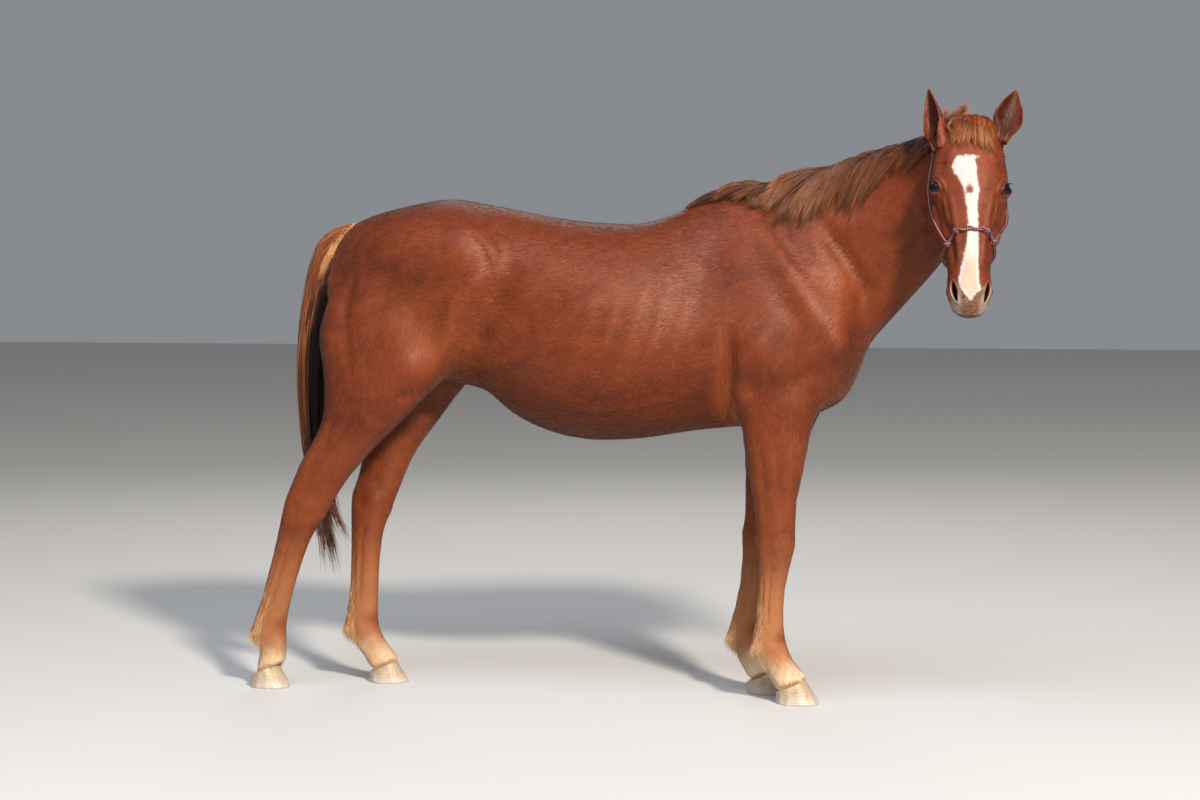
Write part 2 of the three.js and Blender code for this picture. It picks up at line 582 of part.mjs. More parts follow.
function tail() {
  const at = tracks(tailStations, 's', ['x', 'y', 'z', 'half', 'deep']);
  const step = 0.1;
  return loft(tailStations.map(({ s }) => s), 12, (s, angle) => {
    const forward = at.x(s + step) - at.x(s - step);
    const upward = at.z(s + step) - at.z(s - step);
    const outwards = new THREE.Vector3(upward, 0, -forward).normalize();
    return new THREE.Vector3(at.x(s), at.y(s), at.z(s))
      .addScaledVector(outwards, Math.cos(angle) * at.deep(s))
      .add(new THREE.Vector3(0, Math.sin(angle) * at.half(s), 0));
  });
}

// ---------- rope halter ----------

// A place on a rope's route.
function overHead(u, degrees, slack = 0) {
  return headPoint(u, THREE.MathUtils.degToRad(degrees), ropeLift + slack);
}

const halterKnots = {
  nose_left: overHead(322, 34),
  nose_right: overHead(322, -34),
  joint_left: overHead(334, 66),
  joint_right: overHead(334, -66),
  chin: overHead(372, 180, 4),
  cheek_left: overHead(60, 90),
  cheek_right: overHead(60, -90),
};

function ropeRun(points) {
  const curve = new THREE.CatmullRomCurve3(points);
  const section = new THREE.Shape();
  section.absarc(0, 0, ropeRadius, 0, 2 * Math.PI);
  const steps = Math.max(4, Math.round(curve.getLength() / ropeStep));
  return solid(new THREE.ExtrudeGeometry(section, {
    extrudePath: curve, steps, curveSegments: 3, bevelEnabled: false,
  }));
}

const knot = (name, grow) => ball(halterKnots[name], 1, knotSize.map((size) => size + grow), 7);

// The halter is tied from one rope. It is parted here where the cheek ropes leave the knots.
function halter() {
  const onSide = (route, side) => ropeRun(
    route.map(([u, degrees, slack]) => overHead(u, side * degrees, slack)),
  );
  const onSkin = (name) => knot(name, 0).subtract(head(gap));
  const bandKnots = ['nose_left', 'nose_right', 'joint_left', 'joint_right', 'chin'];
  const cheekKnots = ['cheek_left', 'cheek_right'];
  const noseband = wasm.Manifold.union([
    onSide(nosebandRoute, 1),
    onSide(chinRoute, 1),
    onSide(throatRoute.left, 1),
    onSide(throatRoute.right, -1),
    ...bandKnots.map(onSkin),
  ]).subtract(knot('cheek_left', knotRoom));
  const crown = [
    halterKnots.cheek_left, ...crownRoute.map((place) => onHead(...place)), halterKnots.cheek_right,
  ];
  const headstall = bandKnots.reduce(
    (rest, name) => rest.subtract(knot(name, gap)),
    wasm.Manifold.union([
      onSide(cheekRoute.left, 1),
      onSide(cheekRoute.right, -1),
      ropeRun(crown),
      ...cheekKnots.map(onSkin),
    ]),
  );
  return { noseband, headstall };
}

// ---------- assembly ----------

const horse = new THREE.Group();

function add(name, body, material) {
  const mesh = body.getMesh();
  const geometry = new THREE.BufferGeometry();
  geometry.setAttribute('position', new THREE.BufferAttribute(mesh.vertProperties, 3));
  geometry.setIndex(new THREE.BufferAttribute(mesh.triVerts, 1));
  geometry.computeVertexNormals();
  const part = new THREE.Mesh(geometry, material);
  part.name = name;
  horse.add(part);
}

const upright = new THREE.Vector3(0, 0, 1);

// Splits a body by a plane and opens the cut by the gap.
function split(body, point, normal) {
  const offset = normal.dot(point);
  const back = normal.clone().negate();
  return [
    body.trimByPlane(normal.toArray(), offset + gap / 2),
    body.trimByPlane(back.toArray(), -offset + gap / 2),
  ];
}

const flesh = wasm.Manifold.union([trunk(0), neck(0), ...legs.map(limb)]).subtract(head(gap));
let face = head(0);
for (const side of [1, -1]) {
  face = face.subtract(ball(eyeCentre(side), eyeRadius + gap)).subtract(nostril(side));
}

const neckCut = { point: new THREE.Vector3(690, 0, 1360), normal: new THREE.Vector3(0.82, 0, 0.57) };
const [neckPiece, rest] = split(flesh, neckCut.point, neckCut.normal.normalize());
add('head', face, coat);
add('neck', neckPiece, coat);

function block(from, to) {
  const size = to.clone().sub(from);
  const centre = from.clone().add(to).divideScalar(2);
  return solid(new THREE.BoxGeometry(size.x, size.y, size.z).translate(centre.x, centre.y, centre.z));
}

const floorRoom = -10;           // the leg boxes start below the floor
let torso = rest;
const limbs = legs.map(({ kind, bones, hoof }) => {
  const outwards = Math.sign(hoof.y) * legSide;
  const near = new THREE.Vector3(bones[1].x - kind.behind, Math.min(0, outwards), floorRoom);
  const far = new THREE.Vector3(bones[1].x + kind.ahead, Math.max(0, outwards), kind.cuts[0]);
  const inside = torso.intersect(block(near, far));
  torso = torso.subtract(block(near.clone().subScalar(gap), far.clone().addScalar(gap)));
  return inside;
});

add('trunk', torso, coat);

legs.forEach((leg, i) => {
  const { normal, point } = coronetPlane(leg.hoof);
  const whole = limbs[i].trimByPlane(normal.toArray(), normal.dot(point) + gap);
  const [, aboveKnee, aboveFetlock] = leg.kind.cuts.map((z) => new THREE.Vector3(0, 0, z));
  const [upper, lower] = split(whole, aboveKnee, upright);
  const [cannon, pastern] = split(lower, aboveFetlock, upright);
  add(`${leg.name}_${leg.kind.upper}`, upper, coat);
  add(`${leg.name}_cannon`, cannon, coat);
  add(`${leg.name}_pastern`, pastern, paleCoat);
  add(`${leg.name}_hoof`, hoofSolid(leg.hoof), horn);
});

for (const [side, word] of [[1, 'left'], [-1, 'right']]) {
  add(`eye_${word}`, ball(eyeCentre(side), eyeRadius), wetEye);
  add(`ear_${word}`, ear(side).subtract(head(gap)).subtract(neck(gap)), coat);
}

// Hair that the body carries, cut clear of it.
const clearOfBody = (piece, ...others) => others.reduce((rest, other) => rest.subtract(other), piece);
add('mane', clearOfBody(mane(), neck(gap), trunk(gap), head(gap)), hair);
add('forelock', clearOfBody(forelock(), head(gap)), hair);
add('tail', clearOfBody(tail(), trunk(gap)), tailHair);

for (const [name, piece] of Object.entries(halter())) {
  add(`halter_${name}`, clearOfBody(piece, head(gap), neck(gap)), rope);
}

// The origin is on the floor at the middle of the whole horse's box.
const box = new THREE.Box3().setFromObject(horse);
const middle = box.getCenter(new THREE.Vector3());
horse.position.set(-middle.x, -middle.y, 0);

export default horse;
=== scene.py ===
# A chestnut horse as a life-size still model, its head turned to its right, in a rope halter.
import math

import bmesh
import bpy
import numpy as np
from mathutils import Matrix, Vector
from mathutils.bvhtree import BVHTree


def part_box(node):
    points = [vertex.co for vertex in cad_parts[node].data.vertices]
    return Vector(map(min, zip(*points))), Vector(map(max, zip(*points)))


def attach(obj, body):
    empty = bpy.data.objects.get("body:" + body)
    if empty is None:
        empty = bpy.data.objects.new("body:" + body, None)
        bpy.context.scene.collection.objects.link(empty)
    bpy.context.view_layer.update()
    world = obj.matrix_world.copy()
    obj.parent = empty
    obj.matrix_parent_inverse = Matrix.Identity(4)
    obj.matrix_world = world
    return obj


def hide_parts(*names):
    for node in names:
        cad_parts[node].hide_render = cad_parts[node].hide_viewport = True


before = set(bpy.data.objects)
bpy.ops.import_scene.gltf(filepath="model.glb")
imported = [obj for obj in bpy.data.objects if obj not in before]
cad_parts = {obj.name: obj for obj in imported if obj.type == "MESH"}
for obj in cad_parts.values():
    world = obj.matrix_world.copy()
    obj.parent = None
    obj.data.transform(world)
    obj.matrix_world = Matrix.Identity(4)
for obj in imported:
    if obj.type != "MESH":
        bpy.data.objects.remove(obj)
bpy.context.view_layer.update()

mm = 0.001
dice = np.random.default_rng(11)


# One shader node with its settings. An input that is a node is linked from its first output.
def addNode(tree, kind, inputs=None, **settings):
    node = tree.nodes.new("ShaderNode" + kind)
    for name, value in settings.items():
        setattr(node, name, value)
    for key, value in (inputs or {}).items():
        if isinstance(value, bpy.types.Node):
            value = value.outputs[0]
        if isinstance(value, bpy.types.NodeSocket):
            tree.links.new(value, node.inputs[key])
        else:
            node.inputs[key].default_value = value
    return node


def toLinear(hexColour):
    channels = [int(hexColour[i:i + 2], 16) / 255 for i in (1, 3, 5)]
    linear = [c / 12.92 if c <= 0.04045 else ((c + 0.055) / 1.055) ** 2.4 for c in channels]
    return (*linear, 1.0)


def newMaterial(name):
    material = bpy.data.materials.new(name)
    material.use_nodes = True
    tree = material.node_tree
    tree.nodes.clear()
    output = tree.nodes.new("ShaderNodeOutputMaterial")
    return material, tree, output


def newObject(name, mesh, material, nodes=(), slot=None):
    piece = bpy.data.objects.new(name, mesh)
    bpy.context.scene.collection.objects.link(piece)
    mesh.materials.append(material)
    if nodes:
        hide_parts(*nodes)
    if slot:
        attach(piece, "root")
    return piece


def asArray(vector):
    return np.array(vector, dtype=float)


def unit(vectors):
    length = np.linalg.norm(vectors, axis=-1, keepdims=True)
    return vectors / np.maximum(length, 1e-12)


def smoothStep(low, high, value):
    t = np.clip((value - low) / (high - low), 0.0, 1.0)
    return t * t * (3 - 2 * t)


# ---- the horse's own coordinates, all from the frame ----

# The body is measured in metres from a point on the floor under the middle of its back.
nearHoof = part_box("fore_right_hoof")
bodyOrigin = Vector(((nearHoof[0].x + nearHoof[1].x) / 2 - 0.668, (nearHoof[0].y + nearHoof[1].y) / 2 + 0.102, 0))


def onBody(x, y, z):
    return asArray((bodyOrigin.x + x, bodyOrigin.y + y, z))


# The head's axes: u down the face line, v to the horse's left, w out of the face.
headTurn = dict(yaw=-80, lean=22, eyeDown=0.190, eyeBack=-0.044)
eyeBoxes = {side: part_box(f"eye_{side}") for side in ("left", "right")}
eyeCentres = {side: asArray((low + high) / 2) for side, (low, high) in eyeBoxes.items()}
yaw, lean = math.radians(headTurn["yaw"]), math.radians(headTurn["lean"])
headW = np.array([math.cos(yaw) * math.cos(lean), math.sin(yaw) * math.cos(lean), math.sin(lean)])
headV = unit(eyeCentres["left"] - eyeCentres["right"])
headU = np.cross(headV, headW)
headOrigin = (eyeCentres["left"] + eyeCentres["right"]) / 2 - headU * headTurn["eyeDown"] - headW * headTurn["eyeBack"]


def onHead(u, v, w):
    return headOrigin + headU * u + headV * v + headW * w


def headPlace(points):
    offset = points - headOrigin
    return offset @ headU, offset @ headV, offset @ headW


# ---- camera ----

view = dict(lens=81, sensor=36, yaw=11, down=3.18, height=1.38, aside=0.9676, back=8.135)
soleCentre = asArray((nearHoof[0] + nearHoof[1]) / 2)
cameraData = bpy.data.cameras.new("camera")
cameraData.lens = view["lens"]
cameraData.sensor_width = view["sensor"]
cameraData.clip_end = 100
camera = bpy.data.objects.new("camera", cameraData)
camera.location = (soleCentre[0] + view["aside"], soleCentre[1] - view["back"], view["height"])
camera.rotation_euler = (math.radians(90 - view["down"]), 0, math.radians(view["yaw"]))
bpy.context.scene.collection.objects.link(camera)
bpy.context.scene.camera = camera
print("camera placed")


# ---- skin: one surface over all the nodes of flesh ----

legNames = [f"{end}_{side}" for end in ("fore", "hind") for side in ("right", "left")]
fleshNodes = ["trunk", "neck", "head"]
for leg in legNames:
    fleshNodes += [f"{leg}_{'forearm' if leg.startswith('fore') else 'gaskin'}", f"{leg}_cannon", f"{leg}_pastern"]
skinShape = dict(voxel=12 * mm, swell=1.2 * mm, coatDepth=2.0 * mm)


def mergedCopy(nodes, swell):
    bm = bmesh.new()
    for node in nodes:
        bm.from_mesh(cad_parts[node].data)
    bmesh.ops.remove_doubles(bm, verts=bm.verts, dist=1e-5)
    bm.normal_update()
    for vert in bm.verts:
        vert.co += vert.normal * swell
    mesh = bpy.data.meshes.new("copy")
    bm.to_mesh(mesh)
    bm.free()
    return mesh


def voxelRemesh(mesh, voxel):
    holder = bpy.data.objects.new("holder", mesh)
    bpy.context.scene.collection.objects.link(holder)
    remesh = holder.modifiers.new("remesh", "REMESH")
    remesh.mode = "VOXEL"
    remesh.voxel_size = voxel
    shaped = bpy.data.meshes.new_from_object(holder.evaluated_get(bpy.context.evaluated_depsgraph_get()))
    bpy.data.objects.remove(holder)
    return shaped


def pointsOf(mesh):
    flat = np.empty(len(mesh.vertices) * 3, np.float32)
    mesh.vertices.foreach_get("co", flat)
    return flat.reshape(-1, 3).astype(float)


def edgesOf(mesh):
    flat = np.empty(len(mesh.edges) * 2, np.int32)
    mesh.edges.foreach_get("vertices", flat)
    return flat.reshape(-1, 2)


def normalsOf(mesh):
    flat = np.empty(len(mesh.vertices) * 3, np.float32)
    mesh.vertex_normals.foreach_get("vector", flat)
    return flat.reshape(-1, 3).astype(float)


def setPoints(mesh, points):
    mesh.vertices.foreach_set("co", points.astype(np.float32).ravel())
    mesh.update()


# Rounds of averaging with the neighbours, each vertex by its own share.
def relaxed(values, edges, share, rounds):
    count = len(values)
    ends = np.concatenate([edges[:, 0], edges[:, 1]])
    others = np.concatenate([edges[:, 1], edges[:, 0]])
    valence = np.maximum(np.bincount(ends, minlength=count), 1)[:, None]
    values = values.reshape(count, -1).copy()
    share = np.broadcast_to(share, count)[:, None]
    for _ in range(rounds):
        around = np.stack([np.bincount(ends, values[others, k], count) for k in range(values.shape[1])], 1)
        values += (around / valence - values) * share
    return values


skinMesh = voxelRemesh(mergedCopy(fleshNodes + ["eye_left", "eye_right"], skinShape["swell"]), skinShape["voxel"])
print("skin remeshed", len(skinMesh.vertices))


def facesTree(mesh, points=None):
    places = pointsOf(mesh) if points is None else points
    return BVHTree.FromPolygons(places.tolist(), [tuple(face.vertices) for face in mesh.polygons])


# Which node of flesh each point of the skin lies nearest to.
def nearestNode(points, names):
    places, faces, owners = [], [], []
    for index, name in enumerate(names):
        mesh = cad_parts[name].data
        start = len(places)
        places += [tuple(vert.co) for vert in mesh.vertices]
        faces += [tuple(start + k for k in face.vertices) for face in mesh.polygons]
        owners += [index] * len(mesh.polygons)
    tree = BVHTree.FromPolygons(places, faces)
    return np.array([owners[tree.find_nearest(point)[2]] for point in points.tolist()])


# How strongly each part is smoothed, and by how much its facets are rounded.
relaxShare = dict(trunk=0.5, neck=0.42, head=0.16, forearm=0.3, gaskin=0.3, cannon=0.09, pastern=0.06)
points = pointsOf(skinMesh)
edges = edgesOf(skinMesh)
owner = nearestNode(points, fleshNodes)
nodeShare = np.array([relaxShare[name.split("_")[-1]] for name in fleshNodes])
share = relaxed(nodeShare[owner], edges, 0.5, 12)[:, 0]
smoothed = relaxed(points, edges, share, 50)
setPoints(skinMesh, smoothed)
lost = np.einsum("ij,ij->i", points - smoothed, normalsOf(skinMesh))
points = smoothed + normalsOf(skinMesh) * relaxed(lost, edges, 0.5, 40)
setPoints(skinMesh, points)


# Splits every edge of the faces whose middle passes the test.
def refine(mesh, wanted):
    bm = bmesh.new()
    bm.from_mesh(mesh)
    middles = np.array([face.calc_center_median() for face in bm.faces])
    chosen = wanted(middles)
    marked = {edge for face, keep in zip(bm.faces, chosen) if keep for edge in face.edges}
    bmesh.ops.subdivide_edges(bm, edges=list(marked), cuts=1, use_grid_fill=True, smooth=0.0)
    bmesh.ops.triangulate(bm, faces=[face for face in bm.faces if len(face.verts) > 4])
    bm.to_mesh(mesh)
    bm.free()


def onFineParts(places):
    u, v, w = headPlace(places)
    onFace = (u > -0.05) & (np.abs(v) < 0.16) & (w > -0.29) & (u < 0.62)
    return onFace | (places[:, 2] < 0.56)


def onFeatures(places):
    u, v, w = headPlace(places)
    muzzle = (u > 0.44) & (u < 0.62) & (np.abs(v) < 0.12)
    aroundEye = np.abs(u - headTurn["eyeDown"]) < 0.062
    return (muzzle | (aroundEye & (w > -0.11) & (np.abs(v) > 0.05))) & (np.abs(v) < 0.15) & (w > -0.20)


refine(skinMesh, onFineParts)
points = relaxed(pointsOf(skinMesh), edgesOf(skinMesh), 0.5 * onFineParts(pointsOf(skinMesh)), 2)
setPoints(skinMesh, points)
refine(skinMesh, onFeatures)
points = relaxed(pointsOf(skinMesh), edgesOf(skinMesh), 0.5 * onFeatures(pointsOf(skinMesh)), 2)
setPoints(skinMesh, points)
print("skin refined", len(skinMesh.vertices))


# ---- sculpting: strokes raise or sink the skin along a path on it ----

# Gives each point's distance to a path, and how far along it the nearest place is.
def toPath(places, path):
    best = np.full(len(places), np.inf)
    along = np.zeros(len(places))
    lengths = np.linalg.norm(np.diff(path, axis=0), axis=1)
    reached = 0.0
    for start, end, length in zip(path[:-1], path[1:], lengths):
        step = (end - start) / max(length, 1e-9)
        t = np.clip((places - start) @ step, 0, length)
        gap = np.linalg.norm(places - start - t[:, None] * step, axis=1)
        nearer = gap < best
        best[nearer] = gap[nearer]
        along[nearer] = (reached + t[nearer]) / lengths.sum()
        reached += length
    return best, along


def stroke(places, path, width, height):
    path = np.array(path)
    raised = np.zeros(len(places))
    reach = width * 2.6
    low, high = path.min(0) - reach, path.max(0) + reach
    near = np.where(((places > low) & (places < high)).all(1))[0]
    if len(path) == 1:
        away = np.linalg.norm(places[near] - path[0], axis=1)
        ends = 1.0
    else:
        away, along = toPath(places[near], path)
        ends = np.minimum(1.0, 0.35 + 3.2 * np.minimum(along, 1 - along))
    raised[near] = height * np.exp(-(away / width) ** 2) * ends
    return raised


# A path that just misses an edge of the body takes the nearest place on it.
def castAt(tree, start, direction):
    found = tree.ray_cast(Vector(start), Vector(direction))[0]
    if found is None:
        onLine = [asArray(start) + asArray(direction) * step for step in np.arange(0.0, 1.2, 0.02)]
        nearest = min((tree.find_nearest(Vector(place)) for place in onLine), key=lambda hit: hit[3])
        found = nearest[0]
    return asArray(found)


def onSide(tree, path, side):
    return [castAt(tree, onBody(x, side * 0.9, z), (0, -side, 0)) for x, z in path]


def onRear(tree, path, side):
    return [castAt(tree, onBody(-1.6, side * y, z), (1, 0, 0)) for y, z in path]


def onFront(tree, path, side):
    return [castAt(tree, onHead(u, side * v, 0.3), -headW) for u, v in path]


def onCheek(tree, path, side):
    return [castAt(tree, onHead(u, side * 0.4, w), -side * headV) for u, w in path]


def legSlice(leg, places, owners, height):
    members = np.array([name.startswith(leg) for name in fleshNodes])[owners]
    near = members & (np.abs(places[:, 2] - height) < 0.012)
    return np.append(places[near, :2].mean(0), height)


# A path on a leg: height and degrees round it, 0 in front and 90 on its outer side.
def onLeg(tree, path, leg, places, owners, inner):
    outwards = 1 if leg.endswith("left") else -1
    found = []
    for height, degrees in path:
        turn = math.radians(degrees)
        side = outwards * (-1 if inner else 1)
        direction = np.array([math.cos(turn), side * math.sin(turn), 0])
        centre = legSlice(leg, places, owners, height)
        found.append(castAt(tree, centre + direction * 0.5, -direction) if height > 0.6
                     else castAt(tree, centre, direction))
    return found


# Muscles, creases and hollows of the body, seen from its side: (forward, up) places.
bodyStrokes = [
    dict(what="front of the shoulder", path=[(0.60, 1.49), (0.69, 1.44), (0.735, 1.385), (0.775, 1.33),
                                             (0.81, 1.26), (0.815, 1.19), (0.80, 1.12)], width=0.044, height=0.006),
    dict(what="hollow before the shoulder", path=[(0.73, 1.47), (0.785, 1.40), (0.83, 1.34), (0.865, 1.27),
                                                  (0.872, 1.20)], width=0.032, height=-0.017),
    dict(what="ridge of the blade", path=[(0.58, 1.43), (0.64, 1.34), (0.68, 1.28), (0.72, 1.215),
                                          (0.762, 1.148), (0.796, 1.088)], width=0.036, height=0.007),
    dict(what="behind the ridge", path=[(0.55, 1.36), (0.61, 1.28), (0.66, 1.20), (0.70, 1.13)],
         width=0.040, height=-0.007),
    dict(what="shoulder crease", path=[(0.584, 1.443), (0.631, 1.386), (0.683, 1.323)], width=0.012, height=-0.006),
    dict(what="triceps", path=[(0.53, 1.12), (0.58, 1.05), (0.62, 0.98)], width=0.060, height=0.012),
    dict(what="behind the triceps", path=[(0.476, 1.13), (0.478, 1.066), (0.474, 1.006), (0.468, 0.944),
                                          (0.462, 0.896), (0.47, 0.85)], width=0.022, height=-0.022),
    dict(what="elbow", path=[(0.515, 0.94)], width=0.034, height=0.012),
    dict(what="over the elbow", path=[(0.75, 1.03), (0.68, 1.00), (0.61, 0.95)], width=0.020, height=-0.006),
    dict(what="point of the shoulder", path=[(0.80, 1.10)], width=0.040, height=0.012),
    dict(what="behind the blade", path=[(0.44, 1.44), (0.42, 1.34), (0.40, 1.24)], width=0.050, height=-0.009),
    dict(what="flank ridge", path=[(0.13, 1.275), (0.085, 1.236), (-0.023, 1.167), (-0.103, 1.097),
                                   (-0.221, 1.033), (-0.293, 1.006)], width=0.030, height=0.009),
    dict(what="over the flank", path=[(0.0, 1.27), (-0.08, 1.20), (-0.17, 1.14)], width=0.050, height=-0.010),
    dict(what="point of the hip", path=[(-0.24, 1.385), (-0.27, 1.37)], width=0.042, height=0.014),
    dict(what="front of the thigh", path=[(-0.25, 1.34), (-0.295, 1.285), (-0.355, 1.22), (-0.39, 1.136),
                                          (-0.42, 1.067), (-0.45, 1.00)], width=0.034, height=0.013),
    dict(what="flank hollow", path=[(-0.19, 1.29), (-0.235, 1.22), (-0.285, 1.14), (-0.325, 1.06)],
         width=0.045, height=-0.018),
    dict(what="quarter groove", path=[(-0.66, 1.33), (-0.56, 1.28), (-0.45, 1.26), (-0.36, 1.30)],
         width=0.045, height=-0.008),
    dict(what="quarter", path=[(-0.60, 1.18), (-0.50, 1.15)], width=0.080, height=0.008),
    dict(what="rump groove", path=[(-0.70, 1.31), (-0.715, 1.22), (-0.712, 1.12), (-0.70, 1.02)],
         width=0.020, height=-0.008),
    dict(what="seat", path=[(-0.765, 1.28), (-0.775, 1.18), (-0.77, 1.08)], width=0.030, height=0.006),
    dict(what="stifle", path=[(-0.50, 1.02)], width=0.050, height=0.014),
    dict(what="under the stifle", path=[(-0.50, 0.945), (-0.55, 0.93)], width=0.022, height=-0.009),
    dict(what="neck groove", path=[(0.86, 1.22), (0.93, 1.31), (1.0, 1.39), (1.055, 1.46)], width=0.018, height=-0.007),
    dict(what="neck muscle", path=[(0.76, 1.44), (0.87, 1.45), (0.97, 1.50), (1.05, 1.57)], width=0.040, height=0.006),
    dict(what="under the mane", path=[(0.66, 1.53), (0.78, 1.545), (0.90, 1.585), (1.0, 1.625)],
         width=0.030, height=-0.006),
    dict(what="spur vein", path=[(0.40, 0.97), (0.30, 0.93), (0.18, 0.905), (0.05, 0.895), (-0.08, 0.905)],
         width=0.007, height=0.0025),
]
# Seen from behind: (aside, up) places.
rearStrokes = [dict(what="beside the dock", path=[(0.045, 1.37), (0.060, 1.32), (0.075, 1.26)], width=0.042, height=0.014),
               dict(what="seat below the dock", path=[(0.090, 1.305), (0.105, 1.262), (0.118, 1.215)], width=0.034, height=0.027)]
for k in range(5):
    ribX = 0.05 + 0.07 * k
    bodyStrokes.append(dict(what="rib", path=[(ribX + 0.03, 1.26), (ribX, 1.14), (ribX - 0.03, 1.02)],
                            width=0.016, height=0.0022))
for k in range(4):
    bodyStrokes.append(dict(what="gaskin wrinkle", path=[(-0.70 + 0.02 * k, 0.925 - 0.017 * k),
                                                         (-0.63, 0.912 - 0.017 * k), (-0.545, 0.922 - 0.012 * k)],
                            width=0.006, height=-0.0035))

legStrokes = dict(
    fore=[
        dict(what="forearm groove", path=[(0.80, 75), (0.72, 70), (0.62, 62), (0.55, 60)], width=0.010, height=-0.005),
        dict(what="back groove", path=[(0.78, 120), (0.68, 118), (0.58, 116)], width=0.009, height=-0.005),
        dict(what="front muscle", path=[(0.82, 30), (0.74, 30), (0.68, 28)], width=0.030, height=0.006),
        dict(what="knee side", path=[(0.50, 80), (0.455, 80)], width=0.016, height=0.004),
        dict(what="knee front", path=[(0.505, 25), (0.46, 25)], width=0.015, height=0.0035),
        dict(what="back of the knee", path=[(0.515, 165), (0.485, 165)], width=0.018, height=0.004),
        dict(what="under the knee", path=[(0.425, 90), (0.40, 92)], width=0.012, height=-0.004),
        dict(what="bone edge", path=[(0.40, 98), (0.32, 98), (0.25, 98)], width=0.0055, height=-0.0050),
        dict(what="tendon edge", path=[(0.39, 135), (0.31, 135), (0.24, 132)], width=0.0050, height=-0.0035),
        dict(what="fetlock side", path=[(0.178, 90)], width=0.018, height=0.003),
        dict(what="sesamoids", path=[(0.185, 155), (0.160, 158)], width=0.017, height=0.010),
        dict(what="pastern hollow", path=[(0.125, 172)], width=0.018, height=-0.006),
        dict(what="knee crease", path=[(0.530, 10), (0.528, 55)], width=0.0045, height=-0.0025),
    ],
    hind=[
        dict(what="calf groove", path=[(0.86, 112), (0.78, 114), (0.71, 118), (0.66, 122)],
             width=0.014, height=-0.010),
        dict(what="front muscle", path=[(0.86, 40), (0.78, 40)], width=0.030, height=0.006),
        dict(what="hock side", path=[(0.585, 75)], width=0.018, height=0.006),
        dict(what="hock hollow", path=[(0.60, 125), (0.57, 125)], width=0.013, height=-0.006),
        dict(what="hock front", path=[(0.56, 12), (0.53, 12)], width=0.016, height=0.004),
        dict(what="under the hock", path=[(0.50, 95), (0.46, 98)], width=0.010, height=-0.004),
        dict(what="bone edge", path=[(0.46, 100), (0.36, 100), (0.26, 98)], width=0.0055, height=-0.0050),
        dict(what="tendon edge", path=[(0.45, 135), (0.35, 135), (0.25, 132)], width=0.0050, height=-0.0035),
        dict(what="fetlock side", path=[(0.178, 90)], width=0.018, height=0.003),
        dict(what="sesamoids", path=[(0.185, 155), (0.160, 158)], width=0.017, height=0.010),
        dict(what="pastern hollow", path=[(0.125, 172)], width=0.018, height=-0.006),
    ],
)

# Bones, muscles and veins of the face: (down, across) places seen from the front.
faceStrokes = [
    dict(what="temple line", path=[(0.02, 0.022), (0.08, 0.048), (0.125, 0.078)], width=0.012, height=0.003),
    dict(what="hollow over the eye", path=[(0.112, 0.086), (0.145, 0.092)], width=0.020, height=-0.006),
    dict(what="edge of the nose", path=[(0.215, 0.064), (0.28, 0.052), (0.36, 0.041), (0.43, 0.036)],
         width=0.010, height=0.0050),
    dict(what="beside the nose", path=[(0.30, 0.072), (0.36, 0.056), (0.42, 0.050)], width=0.014, height=-0.008),
    dict(what="under the inner corner", path=[(0.226, 0.080), (0.262, 0.072), (0.305, 0.062)],
         width=0.007, height=0.0050),
    dict(what="middle of the nose", path=[(0.24, 0.0), (0.33, 0.0), (0.43, 0.0)], width=0.020, height=0.0015),
    dict(what="between the eyes", path=[(0.12, 0.0), (0.20, 0.0)], width=0.036, height=0.003),
    dict(what="between the nostrils", path=[(0.47, 0.0), (0.515, 0.0)], width=0.017, height=-0.004),
    dict(what="upper lip", path=[(0.545, 0.022)], width=0.020, height=0.003),
    dict(what="nostril wing", path=[(0.488, 0.062), (0.512, 0.062)], width=0.015, height=0.0055),
]
# The same from the side of the head: (down, out of the face) places.
cheekStrokes = [
    dict(what="facial crest", path=[(0.225, -0.082), (0.27, -0.086), (0.325, -0.083)], width=0.008, height=0.008),
    dict(what="cheek muscle", path=[(0.22, -0.17), (0.27, -0.155)], width=0.050, height=0.007),
    dict(what="before the cheek", path=[(0.335, -0.15), (0.33, -0.11)], width=0.018, height=-0.006),
    dict(what="jaw edge", path=[(0.15, -0.235), (0.24, -0.238), (0.30, -0.215)], width=0.014, height=0.004),
    dict(what="face vein", path=[(0.325, -0.150), (0.35, -0.115), (0.385, -0.085), (0.42, -0.070)],
         width=0.004, height=0.0022),
    dict(what="mouth corner fold", path=[(0.462, -0.088), (0.470, -0.105)], width=0.006, height=0.003),
    dict(what="chin", path=[(0.525, -0.133)], width=0.020, height=0.007),
    dict(what="behind the chin", path=[(0.480, -0.143)], width=0.016, height=-0.006),
]

tree = facesTree(skinMesh)
normals = normalsOf(skinMesh)
owner = nearestNode(points, fleshNodes)
raised = np.zeros(len(points))
for side in (1, -1):
    for each in bodyStrokes:
        raised += stroke(points, onSide(tree, each["path"], side), each["width"], each["height"])
    for each in rearStrokes:
        raised += stroke(points, onRear(tree, each["path"], side), each["width"], each["height"])
    for each in faceStrokes:
        if side == 1 or any(v for _, v in each["path"]):
            raised += stroke(points, onFront(tree, each["path"], side), each["width"], each["height"])
    for each in cheekStrokes:
        raised += stroke(points, onCheek(tree, each["path"], side), each["width"], each["height"])
for leg in legNames:
    for each in legStrokes[leg.split("_")[0]]:
        for inner in (False, True):
            path = onLeg(tree, each["path"], leg, points, owner, inner)
            raised += stroke(points, path, each["width"], each["height"])
points += normals * (raised - skinShape["coatDepth"])[:, None]
